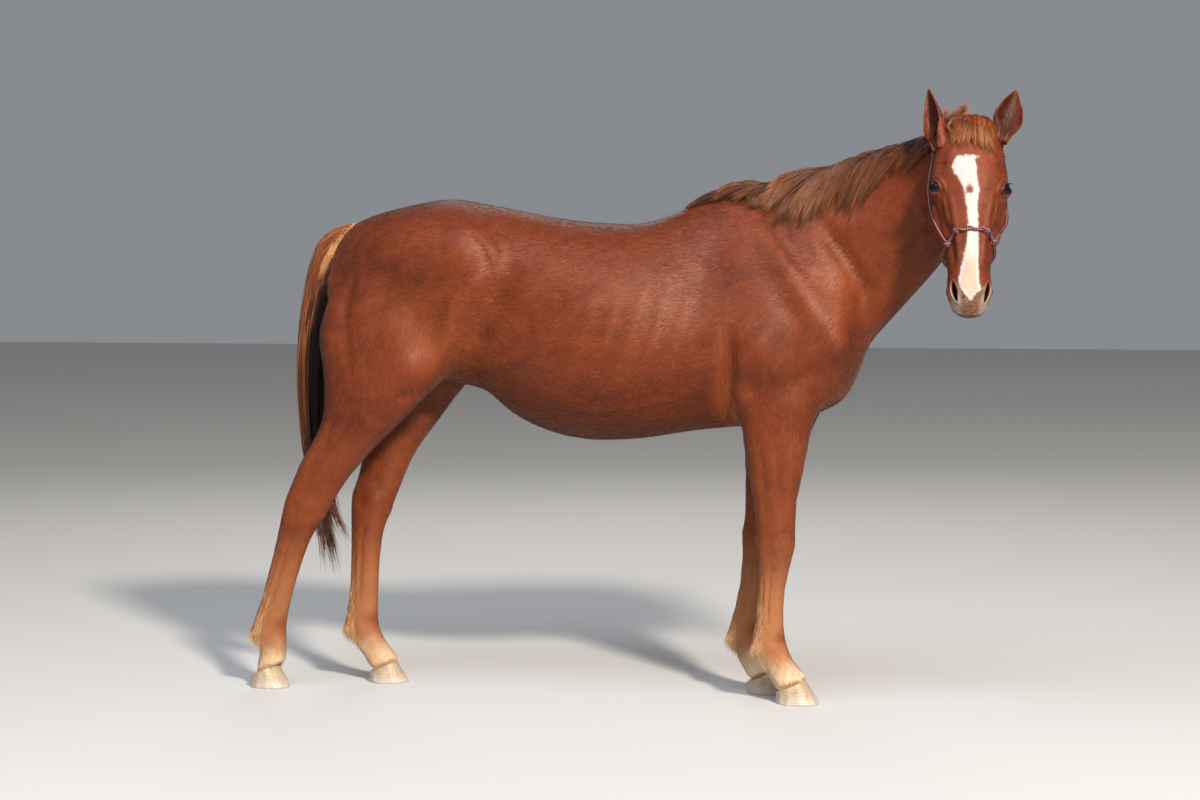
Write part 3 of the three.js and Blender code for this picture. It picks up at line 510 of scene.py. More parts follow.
# The rim over each hoof settles onto the horn, so no gap shows between them.
for leg in legNames:
    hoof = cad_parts[f"{leg}_hoof"].data
    hoofTree = facesTree(hoof)
    low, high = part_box(f"{leg}_hoof")
    near = np.where((points[:, 2] < 0.16) & (np.abs(points[:, 0] - (low.x + high.x) / 2) < 0.16)
                    & (np.abs(points[:, 1] - (low.y + high.y) / 2) < 0.09))[0]
    for index in near:
        spot, _, _, gap = hoofTree.find_nearest(Vector(points[index]))
        if gap < 0.009:
            pull = float(smoothStep(0.009, 0.004, gap)) * max(0.0, 1 - 0.0004 / max(gap, 1e-6))
            points[index] += (asArray(spot) - points[index]) * pull
setPoints(skinMesh, points)
print("skin sculpted")
# ---- openings: each is cut out to a rounded outline and lined with a closed pocket ----

def ovalRadius(angle, long, above, below, sharpness):
    across = np.where(np.sin(angle) > 0, above, below)
    return (np.abs(np.cos(angle) / long) ** sharpness + np.abs(np.sin(angle) / across) ** sharpness) ** (-1 / sharpness)


def cutPocket(mesh, centre, axes, outline, rim, rings):
    bm = bmesh.new()
    bm.from_mesh(mesh)
    bm.faces.ensure_lookup_table()
    middles = (np.array([face.calc_center_median() for face in bm.faces]) - centre) @ axes.T
    reach = np.hypot(middles[:, 0], middles[:, 1])
    inside = (reach < outline(np.arctan2(middles[:, 1], middles[:, 0]))) & (middles[:, 2] > -0.016) & (middles[:, 2] < 0.06)
    bmesh.ops.delete(bm, geom=[bm.faces[k] for k in np.where(inside)[0]], context="FACES")
    border = {edge for edge in bm.edges if edge.is_boundary}
    loop = [next(iter(border)).verts[0]]
    while len(loop) < len(border):
        options = [edge.other_vert(loop[-1]) for edge in loop[-1].link_edges if edge in border]
        fresh = [vert for vert in options if vert not in loop[-2:]]
        if not fresh or fresh[0] == loop[0]:
            break
        loop.append(fresh[0])
    local = (np.array([vert.co for vert in loop]) - centre) @ axes.T
    angles = np.unwrap(np.arctan2(local[:, 1], local[:, 0]))
    turn = np.sign(angles[-1] - angles[0]) * 2 * np.pi
    for _ in range(25):
        before = np.concatenate([[angles[-1] - turn], angles[:-1]])
        after = np.concatenate([angles[1:], [angles[0] + turn]])
        angles = 0.5 * angles + 0.25 * (before + after)
    radius = outline(angles)
    ringPoints = np.stack([radius * np.cos(angles), radius * np.sin(angles), rim(radius, local[:, 2])], 1)
    for vert, place in zip(loop, ringPoints @ axes + centre):
        vert.co = place
    edgeOf = {frozenset(edge.verts): edge for edge in border}
    current = [edgeOf[frozenset((loop[k - 1], loop[k]))] for k in range(len(loop))]
    for ring in rings:
        places = ring(angles, radius, ringPoints[:, 2])
        made = bmesh.ops.extrude_edge_only(bm, edges=current)["geom"]
        nextLoop = []
        for k, vert in enumerate(loop):
            twin = next(edge.other_vert(vert) for edge in vert.link_edges if edge.other_vert(vert) in made
                        and edge.other_vert(vert) not in loop)
            nextLoop.append(twin)
        for vert, place in zip(nextLoop, places @ axes + centre):
            vert.co = place
        current = [edge for edge in made if isinstance(edge, bmesh.types.BMEdge) and
                   edge.verts[0] in nextLoop and edge.verts[1] in nextLoop]
        loop = nextLoop
    cap = bmesh.ops.contextual_create(bm, geom=current)["faces"]
    bmesh.ops.triangulate(bm, faces=cap)
    bmesh.ops.recalc_face_normals(bm, faces=bm.faces)
    bm.to_mesh(mesh)
    bm.free()


eyeShape = dict(radius=23 * mm, inwards=4.5 * mm, facing=(-0.05, 0.76, 0.65), slant=48, long=22 * mm,
                upper=14.5 * mm, lower=11.5 * mm, sharpness=1.8, lidGap=0.7 * mm, lid=2.0 * mm)
headAxes = np.stack([headU, headV, headW])
eyes = {}
for name, side in (("left", 1), ("right", -1)):
    facing = np.array(eyeShape["facing"]) * (1, side, 1) @ headAxes
    facing = unit(facing)
    forwards = unit(headW - facing * (headW @ facing))
    down = unit(headU - facing * (headU @ facing))
    slant = math.radians(eyeShape["slant"])
    along = unit(down * math.cos(slant) + unit(np.cross(facing, down)) * side * -math.sin(slant))
    if along @ forwards < 0:
        along = unit(down * math.cos(slant) + unit(np.cross(facing, down)) * side * math.sin(slant))
    across = np.cross(facing, along)
    upperSide = 1 if across @ headU < 0 else -1
    centre = eyeCentres[name] - facing * eyeShape["inwards"]
    eyes[name] = dict(centre=centre, axes=np.stack([along, across * upperSide, facing]), side=side)


def eyeOutline(angle):
    return ovalRadius(angle, eyeShape["long"], eyeShape["upper"], eyeShape["lower"], eyeShape["sharpness"])


# Lays the skin round each eye over the ball, as lids with a fold above and below and a brow over them.
def shapeLids(points):
    for eye in eyes.values():
        local = (points - eye["centre"]) @ eye["axes"].T
        near = (np.linalg.norm(local, axis=1) < 0.06) & (local[:, 2] > -0.002)
        x, y, z = local[near].T
        reach = np.hypot(x, y)
        angle = np.arctan2(y, x)
        past = reach - eyeOutline(angle)
        above = smoothStep(-0.3, 0.6, np.sin(angle))
        lid = eyeShape["radius"] + eyeShape["lidGap"] + eyeShape["lid"]
        lidRadius = lid + 0.9 * mm * np.exp(-((past - 2.6 * mm) / (2.0 * mm)) ** 2)
        lidRadius -= (1.3 + 1.1 * above) * mm * np.exp(-((past - 6.5 * mm) / (1.7 * mm)) ** 2)
        length = np.linalg.norm(local[near], axis=1)
        blend = 1 - smoothStep(7 * mm, 15 * mm, past)
        radius = length + (lidRadius - length) * blend
        radius += (5.0 * above - 0.2) * mm * np.exp(-((past - 12.0 * mm) / (5.5 * mm)) ** 2)
        radius -= 1.6 * mm * (1 - above) * np.exp(-((past - 14 * mm) / (3.0 * mm)) ** 2)
        radius += 1.2 * mm * (1 - above) * np.exp(-((past - 10.5 * mm) / (2.2 * mm)) ** 2)
        local[near] *= (radius / length)[:, None]
        points[near] = local[near] @ eye["axes"] + eye["centre"]
    return points


nostrilShape = dict(down=0.514, aside=0.0435, back=-0.038, facing=(0.14, 0.60, 0.79), long=30 * mm,
                    outer=8.5 * mm, inner=8.0 * mm, sharpness=2.0, depth=28 * mm)
nostrils = []
for side in (1, -1):
    facing = unit(np.array(nostrilShape["facing"]) * (1, side, 1) @ headAxes)
    axisDown = unit(np.array([1.0, -0.15 * side, 0.0]) @ headAxes)
    along = unit(axisDown - facing * (axisDown @ facing))
    across = np.cross(facing, along)
    outwards = 1 if across @ headV * side > 0 else -1
    seed = onHead(nostrilShape["down"], side * nostrilShape["aside"], nostrilShape["back"])
    nostrils.append(dict(seed=seed, axes=np.stack([along, across * outwards, facing]), side=side))


def nostrilOutline(angle):
    oval = ovalRadius(angle, nostrilShape["long"], nostrilShape["outer"], nostrilShape["inner"], nostrilShape["sharpness"])
    return oval * (1 - 0.12 * np.cos(angle))


def onFinest(places):
    u, v, w = headPlace(places)
    around = np.zeros(len(places), bool)
    for eye in eyes.values():
        away = (places - eye["centre"]) @ eye["axes"].T
        around |= (np.linalg.norm(away[:, :2], axis=1) < 0.034) & (away[:, 2] > 0.0)
    for nostril in nostrils:
        around |= np.linalg.norm(places - nostril["seed"], axis=1) < 0.036
    lips = (u > 0.53) & (np.abs(w + 0.080) < 0.022)
    return around | lips


refine(skinMesh, onFinest)
points = relaxed(pointsOf(skinMesh), edgesOf(skinMesh), 0.4 * onFinest(pointsOf(skinMesh)), 2)
points = shapeLids(points)
setPoints(skinMesh, points)

# Rims of the nostrils, the line of the mouth and the lips either side of it.
tree = facesTree(skinMesh)
for nostril in nostrils:
    start = nostril["seed"] + nostril["axes"][2] * 0.1
    nostril["centre"] = castAt(tree, start, -nostril["axes"][2])
    local = (points - nostril["centre"]) @ nostril["axes"].T
    angle = np.arctan2(local[:, 1], local[:, 0])
    past = np.hypot(local[:, 0], local[:, 1]) - nostrilOutline(angle)
    near = np.exp(-((past - 4.5 * mm) / (5.0 * mm)) ** 2) * (local[:, 2] > -0.04) * (local[:, 2] < 0.03)
    lift = 3.6 * mm + 2.4 * mm * np.sin(angle)
    points += nostril["axes"][2] * (near * lift)[:, None]
    hollow = np.exp(-((past - 13 * mm) / (5.0 * mm)) ** 2) * (np.abs(local[:, 2]) < 0.03) * (np.sin(angle) < 0.3)
    points -= nostril["axes"][2] * (hollow * 1.8 * mm)[:, None]
setPoints(skinMesh, points)
tree = facesTree(skinMesh)
mouthLine = [(0.452, 0.052, -0.098), (0.48, 0.056, -0.096), (0.505, 0.054, -0.092), (0.53, 0.044, -0.086),
             (0.552, 0.027, -0.080), (0.562, 0.0, -0.077)]
mouth = [onHead(u, v, w) for u, v, w in mouthLine] + [onHead(u, -v, w) for u, v, w in mouthLine[-2::-1]]
mouth = [asArray(tree.find_nearest(Vector(place))[0]) for place in mouth]
normals = normalsOf(skinMesh)
raised = stroke(points, mouth, 2.4 * mm, -5.5 * mm)
raised += stroke(points, np.array(mouth) + headW * 9 * mm, 6 * mm, 2.2 * mm)
raised += stroke(points, np.array(mouth) - headW * 9 * mm, 6 * mm, 2.0 * mm)
points += normals * raised[:, None]
setPoints(skinMesh, points)

pocket = [(1.0, 1.8), (1.02, 0.4), (1.14, 0.35)]
for eye in eyes.values():
    ball = eyeShape["radius"] + eyeShape["lidGap"]

    def lidRim(radius, depth):
        return np.sqrt((ball + eyeShape["lid"]) ** 2 - radius ** 2)

    def socketRing(polar):
        def place(angle, radius, depth):
            start = np.arcsin(radius / ball)
            tilt = start + (np.pi - start) * polar
            size = ball * np.sin(tilt)
            return np.stack([size * np.cos(angle), size * np.sin(angle), ball * np.cos(tilt)], 1)
        return place

    cutPocket(skinMesh, eye["centre"], eye["axes"], eyeOutline, lidRim,
              [socketRing(polar) for polar in (0.0, 0.12, 0.28, 0.46, 0.64, 0.80, 0.93)])
for nostril in nostrils:
    def nostrilRing(share, depth):
        def place(angle, radius, height):
            size = radius * share
            return np.stack([size * np.cos(angle), size * np.sin(angle), height - depth], 1)
        return place

    cutPocket(skinMesh, nostril["centre"], nostril["axes"], nostrilOutline,
              lambda radius, depth: np.convolve(np.tile(depth, 3), np.ones(9) / 9, "same")[len(depth):2 * len(depth)],
              [nostrilRing(0.93, 1.2 * mm), nostrilRing(0.90, 5 * mm), nostrilRing(0.95, 11 * mm),
               nostrilRing(0.85, 18 * mm), nostrilRing(0.6, 24 * mm), nostrilRing(0.3, nostrilShape["depth"])])
print("eyes and nostrils opened", len(skinMesh.vertices))

# ---- ears ----

earShape = dict(rootBack=-0.056, tipBack=-0.046, wall=3.2 * mm,
                sunk=0.20, around=28, along=44)
earRoots = dict(left=(0.004, 0.088), right=(0.030, 0.083))
earTips = dict(left=(-0.130, 0.136), right=(-0.124, 0.128))
earTurns = dict(left=0.35, right=1.6)
earHalf = dict(at=(-0.2, 0, 0.12, 0.24, 0.36, 0.47, 0.62, 0.76, 0.88, 0.96, 1.0),
               left=(24, 28, 35, 40, 41, 38, 32, 23, 13.5, 6.5, 2.4),
               right=(26, 30, 34, 36, 35, 32, 26, 18, 10.5, 5, 2.2),
               fold=(165, 158, 134, 112, 100, 94, 88, 80, 70, 60, 55))


earFrames = {}


# A pointed shell: a long strip curled towards its opening, closed at the root and spread at the middle.
def earMesh(name, side):
    shape = earShape
    bm = bmesh.new()
    bmesh.ops.create_grid(bm, x_segments=shape["around"], y_segments=shape["along"], size=1.0)
    rootDown, rootAside = earRoots[name]
    tipDown, tipAside = earTips[name]
    root = onHead(rootDown, side * rootAside, shape["rootBack"])
    tip = onHead(tipDown, side * tipAside, shape["tipBack"])
    axis = tip - root
    opening = unit(headW + headV * side * earTurns[name])
    opening = unit(opening - unit(axis) * (opening @ unit(axis)))
    aside = np.cross(unit(axis), opening)
    earFrames[name] = dict(root=root, axis=axis, opening=opening, aside=aside)
    bulge = unit(headV * side)
    for vert in bm.verts:
        t = -shape["sunk"] + (1 + shape["sunk"]) * (vert.co.y + 1) / 2
        half = np.interp(t, earHalf["at"], earHalf[name]) * mm
        fold = math.radians(np.interp(t, earHalf["at"], earHalf["fold"]))
        curl = fold * vert.co.x
        radius = half / math.sin(min(fold, math.pi / 2))
        deep = 0.72 * radius
        centre = root + axis * t + bulge * 3 * mm * math.sin(math.pi * min(max(t, 0), 1)) - opening * 8 * mm * (t - 0.5)
        vert.co = Vector(centre + aside * radius * math.sin(curl) + opening * deep * (1 - math.cos(curl) - 0.6))
    bmesh.ops.recalc_face_normals(bm, faces=bm.faces)
    bmesh.ops.solidify(bm, geom=list(bm.faces), thickness=shape["wall"])
    bmesh.ops.recalc_face_normals(bm, faces=bm.faces)
    for _ in range(2):
        bmesh.ops.smooth_vert(bm, verts=bm.verts, factor=0.4, use_axis_x=True, use_axis_y=True, use_axis_z=True)
    mesh = bpy.data.meshes.new(f"ear_{name}")
    bm.to_mesh(mesh)
    bm.free()
    return mesh


def joined(mesh, other, operation="UNION"):
    host = bpy.data.objects.new("host", mesh)
    guest = bpy.data.objects.new("guest", other)
    for each in (host, guest):
        bpy.context.scene.collection.objects.link(each)
    cutter = host.modifiers.new("join", "BOOLEAN")
    cutter.operation = operation
    cutter.object = guest
    cutter.solver = "MANIFOLD"
    evaluated = host.evaluated_get(bpy.context.evaluated_depsgraph_get())
    result = bpy.data.meshes.new_from_object(evaluated)
    for each in (host, guest):
        bpy.data.objects.remove(each)
    return result


for name, side in (("left", 1), ("right", -1)):
    before = len(skinMesh.vertices)
    skinMesh = joined(skinMesh, earMesh(name, side))
    print("ear joined", before, len(skinMesh.vertices))

# Thins the mesh where it is smoothest.
def thinned(mesh, faces):
    host = bpy.data.objects.new("host", mesh)
    bpy.context.scene.collection.objects.link(host)
    thin = host.modifiers.new("thin", "DECIMATE")
    thin.ratio = min(1.0, faces / sum(len(face.vertices) - 2 for face in mesh.polygons))
    evaluated = host.evaluated_get(bpy.context.evaluated_depsgraph_get())
    result = bpy.data.meshes.new_from_object(evaluated)
    bpy.data.objects.remove(host)
    return result


print("skin before thinning", sum(len(face.vertices) - 2 for face in skinMesh.polygons))
skinMesh = thinned(skinMesh, 192000)
print("skin thinned", len(skinMesh.polygons))


# ---- eyes ----

eyeLook = dict(iris="#1d0d07", irisDark="#080302", pupil="#020203", white="#3a2a22", pupilWide=10.5 * mm, pupilHigh=5.0 * mm,
               irisRadius=17 * mm, bulge=1.6 * mm)
for name, eye in eyes.items():
    bm = bmesh.new()
    bmesh.ops.create_uvsphere(bm, u_segments=48, v_segments=32, radius=eyeShape["radius"])
    for vert in bm.verts:
        swell = eyeLook["bulge"] * math.exp(-(math.hypot(vert.co.x, vert.co.y) / (11 * mm)) ** 2) * (vert.co.z > 0)
        vert.co.z += swell * 0.4
        place = asArray(vert.co) @ eye["axes"] + eye["centre"]
        vert.co = Vector(place)
    bmesh.ops.recalc_face_normals(bm, faces=bm.faces)
    mesh = bpy.data.meshes.new(f"eye_{name}")
    bm.to_mesh(mesh)
    bm.free()
    mesh.shade_smooth()
    local = (pointsOf(mesh) - eye["centre"]) @ eye["axes"].T
    place = mesh.attributes.new("place", "FLOAT_VECTOR", "POINT")
    place.data.foreach_set("vector", local.ravel().astype(np.float32))
    eye["mesh"] = mesh

material, tree, output = newMaterial("wet_eye_cornea_over_brown_iris")
place = addNode(tree, "Attribute", attribute_name="place")
split = addNode(tree, "SeparateXYZ", {0: addNode(tree, "Mapping", {"Vector": place.outputs["Vector"]})})
across = addNode(tree, "Math", {0: split.outputs[0], 1: eyeLook["pupilWide"]}, operation="DIVIDE")
upDown = addNode(tree, "Math", {0: split.outputs[1], 1: eyeLook["pupilHigh"]}, operation="DIVIDE")
sumSquares = addNode(tree, "Math", {
    0: addNode(tree, "Math", {0: across, 1: across}, operation="MULTIPLY"),
    1: addNode(tree, "Math", {0: upDown, 1: upDown}, operation="MULTIPLY")}, operation="ADD")
inPupil = addNode(tree, "MapRange", {0: sumSquares, 1: 0.8, 2: 1.15, 3: 1.0, 4: 0.0})
flat = addNode(tree, "CombineXYZ", {0: split.outputs[0], 1: split.outputs[1]})
reach = addNode(tree, "VectorMath", {0: flat}, operation="LENGTH")
inIris = addNode(tree, "MapRange", {0: reach.outputs["Value"], 1: eyeLook["irisRadius"], 2: eyeLook["irisRadius"] + 2 * mm,
                                    3: 1.0, 4: 0.0})
fibres = addNode(tree, "TexNoise", {"Vector": place.outputs["Vector"], "Scale": 600.0, "Detail": 3.0})
iris = addNode(tree, "Mix", {0: fibres, 6: toLinear(eyeLook["irisDark"]), 7: toLinear(eyeLook["iris"])}, data_type="RGBA")
withWhite = addNode(tree, "Mix", {0: inIris, 6: toLinear(eyeLook["white"]), 7: iris.outputs[2]}, data_type="RGBA")
colour = addNode(tree, "Mix", {0: inPupil, 6: withWhite.outputs[2], 7: toLinear(eyeLook["pupil"])}, data_type="RGBA")
shader = addNode(tree, "BsdfPrincipled", {"Base Color": colour.outputs[2], "Roughness": 0.05, "IOR": 1.376})
tree.links.new(shader.outputs[0], output.inputs[0])
for name, eye in eyes.items():
    newObject(f"eye_{name}_ball", eye["mesh"], material, [f"eye_{name}"], "eye")


# ---- markings and painted shade and light: each gives how strongly it shows at every point, 0 to 1 ----

# A smooth uneven field from -1 to 1, about one swell to each length.
def ripple(points, length, seed):
    roll = np.random.default_rng(seed)
    total = np.zeros(len(points))
    for _ in range(7):
        way = unit(roll.normal(size=3)) * roll.uniform(0.6, 1.6) * 2 * np.pi / length
        total += np.sin(points @ way + roll.uniform(0, 6.3))
    return total / 3.2


# The blaze down the face: how far across it reaches to each side, at places down from the poll.
blaze = dict(top=0.1065, end=0.541, narrowEdge=1.4 * mm, ragged=1.2 * mm,
             rightDown=(0.08, 0.114, 0.138, 0.162, 0.177, 0.207, 0.231, 0.273, 0.323, 0.383, 0.422, 0.440, 0.488, 0.521, 0.541),
             rightEdge=(-0.036, -0.048, -0.060, -0.050, -0.038, -0.024, -0.020, -0.012, -0.011, -0.016, -0.024, -0.030,
                        -0.037, -0.021, 0.0),
             leftDown=(0.07, 0.108, 0.118, 0.132, 0.150, 0.163, 0.183, 0.206, 0.250, 0.321, 0.436, 0.492, 0.508, 0.520, 0.541),
             leftEdge=(0.017, 0.017, 0.007, 0.010, 0.014, 0.011, 0.013, 0.020, 0.015, 0.019, 0.020, 0.022, 0.029, 0.015, 0.0),
             spotDown=0.209, spotAside=-0.007, spotLong=0.0125, spotWide=0.0105)
paleOnLegs = dict(height=(0.05, 0.087, 0.106, 0.126, 0.148, 0.172), share=(1.0, 0.95, 0.78, 0.42, 0.15, 0.0),
                  tanHeight=(0.10, 0.16, 0.21, 0.34, 0.43, 0.52), tanShare=(0.9, 0.75, 0.85, 0.65, 0.25, 0.0),
                  atBack=0.3)


def paint(points, normals, jitter):
    u, v, w = headPlace(points)
    marks = {}
    uneven = ripple(points, 0.012, 3) * blaze["ragged"] + jitter * 1.6 * mm
    toLeft = np.interp(u, blaze["leftDown"], blaze["leftEdge"]) - v
    toRight = v - np.interp(u, blaze["rightDown"], blaze["rightEdge"])
    within = np.minimum(np.minimum(toLeft, toRight), np.minimum(u - blaze["top"], blaze["end"] - u)) + uneven
    white = smoothStep(-blaze["narrowEdge"], blaze["narrowEdge"], within) * (w > -0.075) * (w < 0.08)
    spot = np.hypot((u - blaze["spotDown"]) / blaze["spotLong"], (v - blaze["spotAside"]) / blaze["spotWide"])
    white *= smoothStep(0.85, 1.1, spot + uneven / (9 * mm))
    marks["white"] = white
    marks["pink"] = white * smoothStep(0.385, 0.44, u) * smoothStep(5 * mm, 9 * mm, np.minimum(toLeft, toRight))

    isHead = (u > -0.02) & (u < 0.63) & (np.abs(v) < 0.14) & (w > -0.26)
    nose = isHead * smoothStep(0.470, 0.520, u + 0.006 * ripple(points, 0.03, 5))
    marks["muzzle"] = nose * (1 - white)
    # lip: a dark band along the mouth line, partly dark lip skin and partly painted shade in the mouth crease, and
    # darker skin below the mouth line.
    toMouth = toPath(points[isHead], np.array(mouth))[0]
    lip = np.zeros(len(points))
    lip[isHead] = np.exp(-(toMouth / (5 * mm)) ** 2)
    under = isHead * smoothStep(0.525, 0.55, u) * smoothStep(-0.078, -0.090, w)
    marks["lip"] = np.maximum(lip * smoothStep(0.008, 0.022, np.abs(v)), 0.75 * under)
    marks["grey"] = isHead * smoothStep(0.520, 0.545, u) * smoothStep(0.016, 0.034, np.abs(v)) * 0.8
    bare, dark = np.zeros(len(points)), np.zeros(len(points))
    for nostril in nostrils:
        local = (points - nostril["centre"]) @ nostril["axes"].T
        angle = np.arctan2(local[:, 1], local[:, 0])
        past = np.hypot(local[:, 0], local[:, 1]) - nostrilOutline(angle)
        close = np.linalg.norm(local, axis=1) < 0.05
        # Painted shade: the nostril lining is darkened the deeper it runs into the opening.
        dark = np.maximum(dark, close * smoothStep(1.5 * mm, -0.5 * mm, past) * smoothStep(6 * mm, -4 * mm, local[:, 2]))
        wing = smoothStep(-0.1, 0.6, np.sin(angle)) + 0.8 * smoothStep(0.4, 1.0, np.cos(angle))
        bare = np.maximum(bare, close * np.clip(wing, 0, 1) * np.exp(-((past - 5 * mm) / (6.0 * mm)) ** 2))
    lid = np.zeros(len(points))
    for eye in eyes.values():
        local = (points - eye["centre"]) @ eye["axes"].T
        angle = np.arctan2(local[:, 1], local[:, 0])
        past = np.hypot(local[:, 0], local[:, 1]) - eyeOutline(angle)
        close = (np.linalg.norm(local, axis=1) < 0.05) & (local[:, 2] > -0.03)
        # Dark lid rims: the skin's own colour.
        dark = np.maximum(dark, close * smoothStep(5.2 * mm, 1.6 * mm, past))
        above = smoothStep(-0.2, 0.7, np.sin(angle))
        lid = np.maximum(lid, close * (0.20 * (1 - above) * np.exp(-((past - 4 * mm) / (3.0 * mm)) ** 2)
                                       + 0.25 * above * np.exp(-((past - 12 * mm) / (4.0 * mm)) ** 2)))
    marks["bare"] = np.clip(bare, 0, 1)
    marks["lid"] = np.clip(lid, 0, 1)
    marks["dark"] = np.clip(dark, 0, 1)
    x, y, z = (points - asArray(onBody(0, 0, 0))).T
    rearward = smoothStep(0.1, 0.8, -normals[:, 0])
    legs = np.interp(z + 0.006 * ripple(points, 0.05, 8) + np.where(x > 0, 0.012, 0.0),
                     paleOnLegs["height"], paleOnLegs["share"])
    fetlock = np.exp(-((z - 0.160) / 0.035) ** 2)
    marks["pale"] = np.clip((legs + paleOnLegs["atBack"] * rearward * fetlock) * np.where(x > 0, 1.0, 0.8), 0, 1)
    tan = np.interp(z, paleOnLegs["tanHeight"], paleOnLegs["tanShare"]) * np.where(x > 0, 0.95, 0.72 + 0.25 * rearward)
    patch = np.exp(-((z - 0.205) / 0.022) ** 2) * smoothStep(-0.2, 0.6, normals[:, 0])
    marks["tan"] = np.clip(tan * (1 - 0.75 * patch), 0, 1)
    # warm: a more orange coat low on the body and over the flank and stifle; the patches at the elbow and at the front
    # of the shoulder are painted light.
    warm = np.exp(-((x + 0.36) / 0.12) ** 2 - ((z - 1.06) / 0.13) ** 2) * 0.8
    warm = np.maximum(warm, np.exp(-((x - 0.47) / 0.045) ** 2 - ((z - 0.93) / 0.08) ** 2) * 0.9)
    warm = np.maximum(warm, np.exp(-((x - 0.80) / 0.06) ** 2 - ((z - 1.27) / 0.12) ** 2) * 0.15)
    warm = np.maximum(warm, 0.35 * smoothStep(0.95, 0.55, z))
    marks["warm"] = np.clip(warm + 0.10 * ripple(points, 0.30, 9), 0, 1)
    # Painted shade: the inside of each ear cup, where it faces the opening, is coloured near black-brown.
    hollow = np.zeros(len(points))
    for name, ear in earFrames.items():
        offset = points - ear["root"]
        t = offset @ ear["axis"] / (ear["axis"] @ ear["axis"])
        half = np.interp(t, earHalf["at"], earHalf[name]) * mm
        inwards = smoothStep(0.0, 0.35, normals @ ear["opening"]) * smoothStep(0.98, 0.72, np.abs(offset @ ear["aside"]) / half)
        close = (t > -0.05) & (t < 1) & (np.linalg.norm(offset - np.outer(t, ear["axis"]), axis=1) < 0.055)
        hollow = np.maximum(hollow, close * inwards * smoothStep(1.0, 0.85, t))
    marks["hollow"] = np.clip(hollow * (0.9 + 0.1 * ripple(points, 0.02, 12)), 0, 1)
    return marks


def setFloats(mesh, name, values):
    mesh.attributes.new(name, "FLOAT", "POINT").data.foreach_set("value", values.astype(np.float32))


def setVectors(mesh, name, values):
    mesh.attributes.new(name, "FLOAT_VECTOR", "POINT").data.foreach_set("vector", values.ravel().astype(np.float32))


# ---- the lie of the coat: from the face back, and down the legs ----

points = pointsOf(skinMesh)
normals = normalsOf(skinMesh)
edges = edgesOf(skinMesh)
partNames = fleshNodes + ["ear_left", "ear_right"]
owner = nearestNode(points, partNames)
layGuide = dict(trunk=(-1.0, 0.0, -0.32), neck=(-0.75, 0.0, -0.62), forearm=(-0.15, 0.0, -1.0), cannon=(-0.12, 0.0, -1.0),
                pastern=(0.1, 0.0, -1.0), gaskin=(-0.18, 0.0, -1.0))
lay = np.zeros_like(points)
for index, name in enumerate(partNames):
    members = owner == index
    kind = name.split("_")[-1]
    if name == "head":
        u, v, w = headPlace(points[members])
        toSide = np.sign(v) * smoothStep(0.02, 0.09, np.abs(v))
        lay[members] = headU + headV * toSide[:, None] * 0.35 - headW * smoothStep(0.0, -0.12, w)[:, None] * 0.8
    elif name.startswith("ear"):
        lay[members] = -headU
    else:
        lay[members] = layGuide[kind]
x, y, z = (points - asArray(onBody(0, 0, 0))).T
thigh = (owner == partNames.index("trunk")) & (x < -0.42) & (z < 1.3)
lay[thigh] += np.array([0.6, 0.0, -0.9]) * smoothStep(1.32, 1.05, z[thigh])[:, None]
foreArm = (owner == partNames.index("trunk")) & (x > 0.46) & (z < 1.25)
lay[foreArm] += np.array([0.7, 0.0, -0.7]) * smoothStep(1.3, 1.0, z[foreArm])[:, None]
flank = np.exp(-((x + 0.30) / 0.10) ** 2 - ((z - 1.12) / 0.12) ** 2)
lay += np.array([0.2, 0.0, 1.1]) * flank[:, None]
for _ in range(3):
    lay = relaxed(lay, edges, 0.5, 6)
    lay = unit(lay - normals * np.einsum("ij,ij->i", lay, normals)[:, None])


# ---- coat colours ----

# Of these colours, hollow is painted shade in the ear cups, dark is dark lid rims with painted shade in the nostrils,
# lip is lip skin with painted shade in the mouth crease, and warm is an orange tone with painted light at the elbow and
# shoulder front.
coatLook = dict(deep="#4c1d0e", base="#692b16", light="#803c1d", warm="#8a4522", tan="#a87047", pale="#c5a67c",
                cream="#e2cdb0", white="#b5b2aa", pink="#bb9b86", muzzle="#5c3524", muzzleLight="#b39a80", grey="#95877a",
                lip="#3a2824", lid="#5e3a2a", bare="#8f7a69", hollow="#331006", dark="#100908", roughness=0.46)


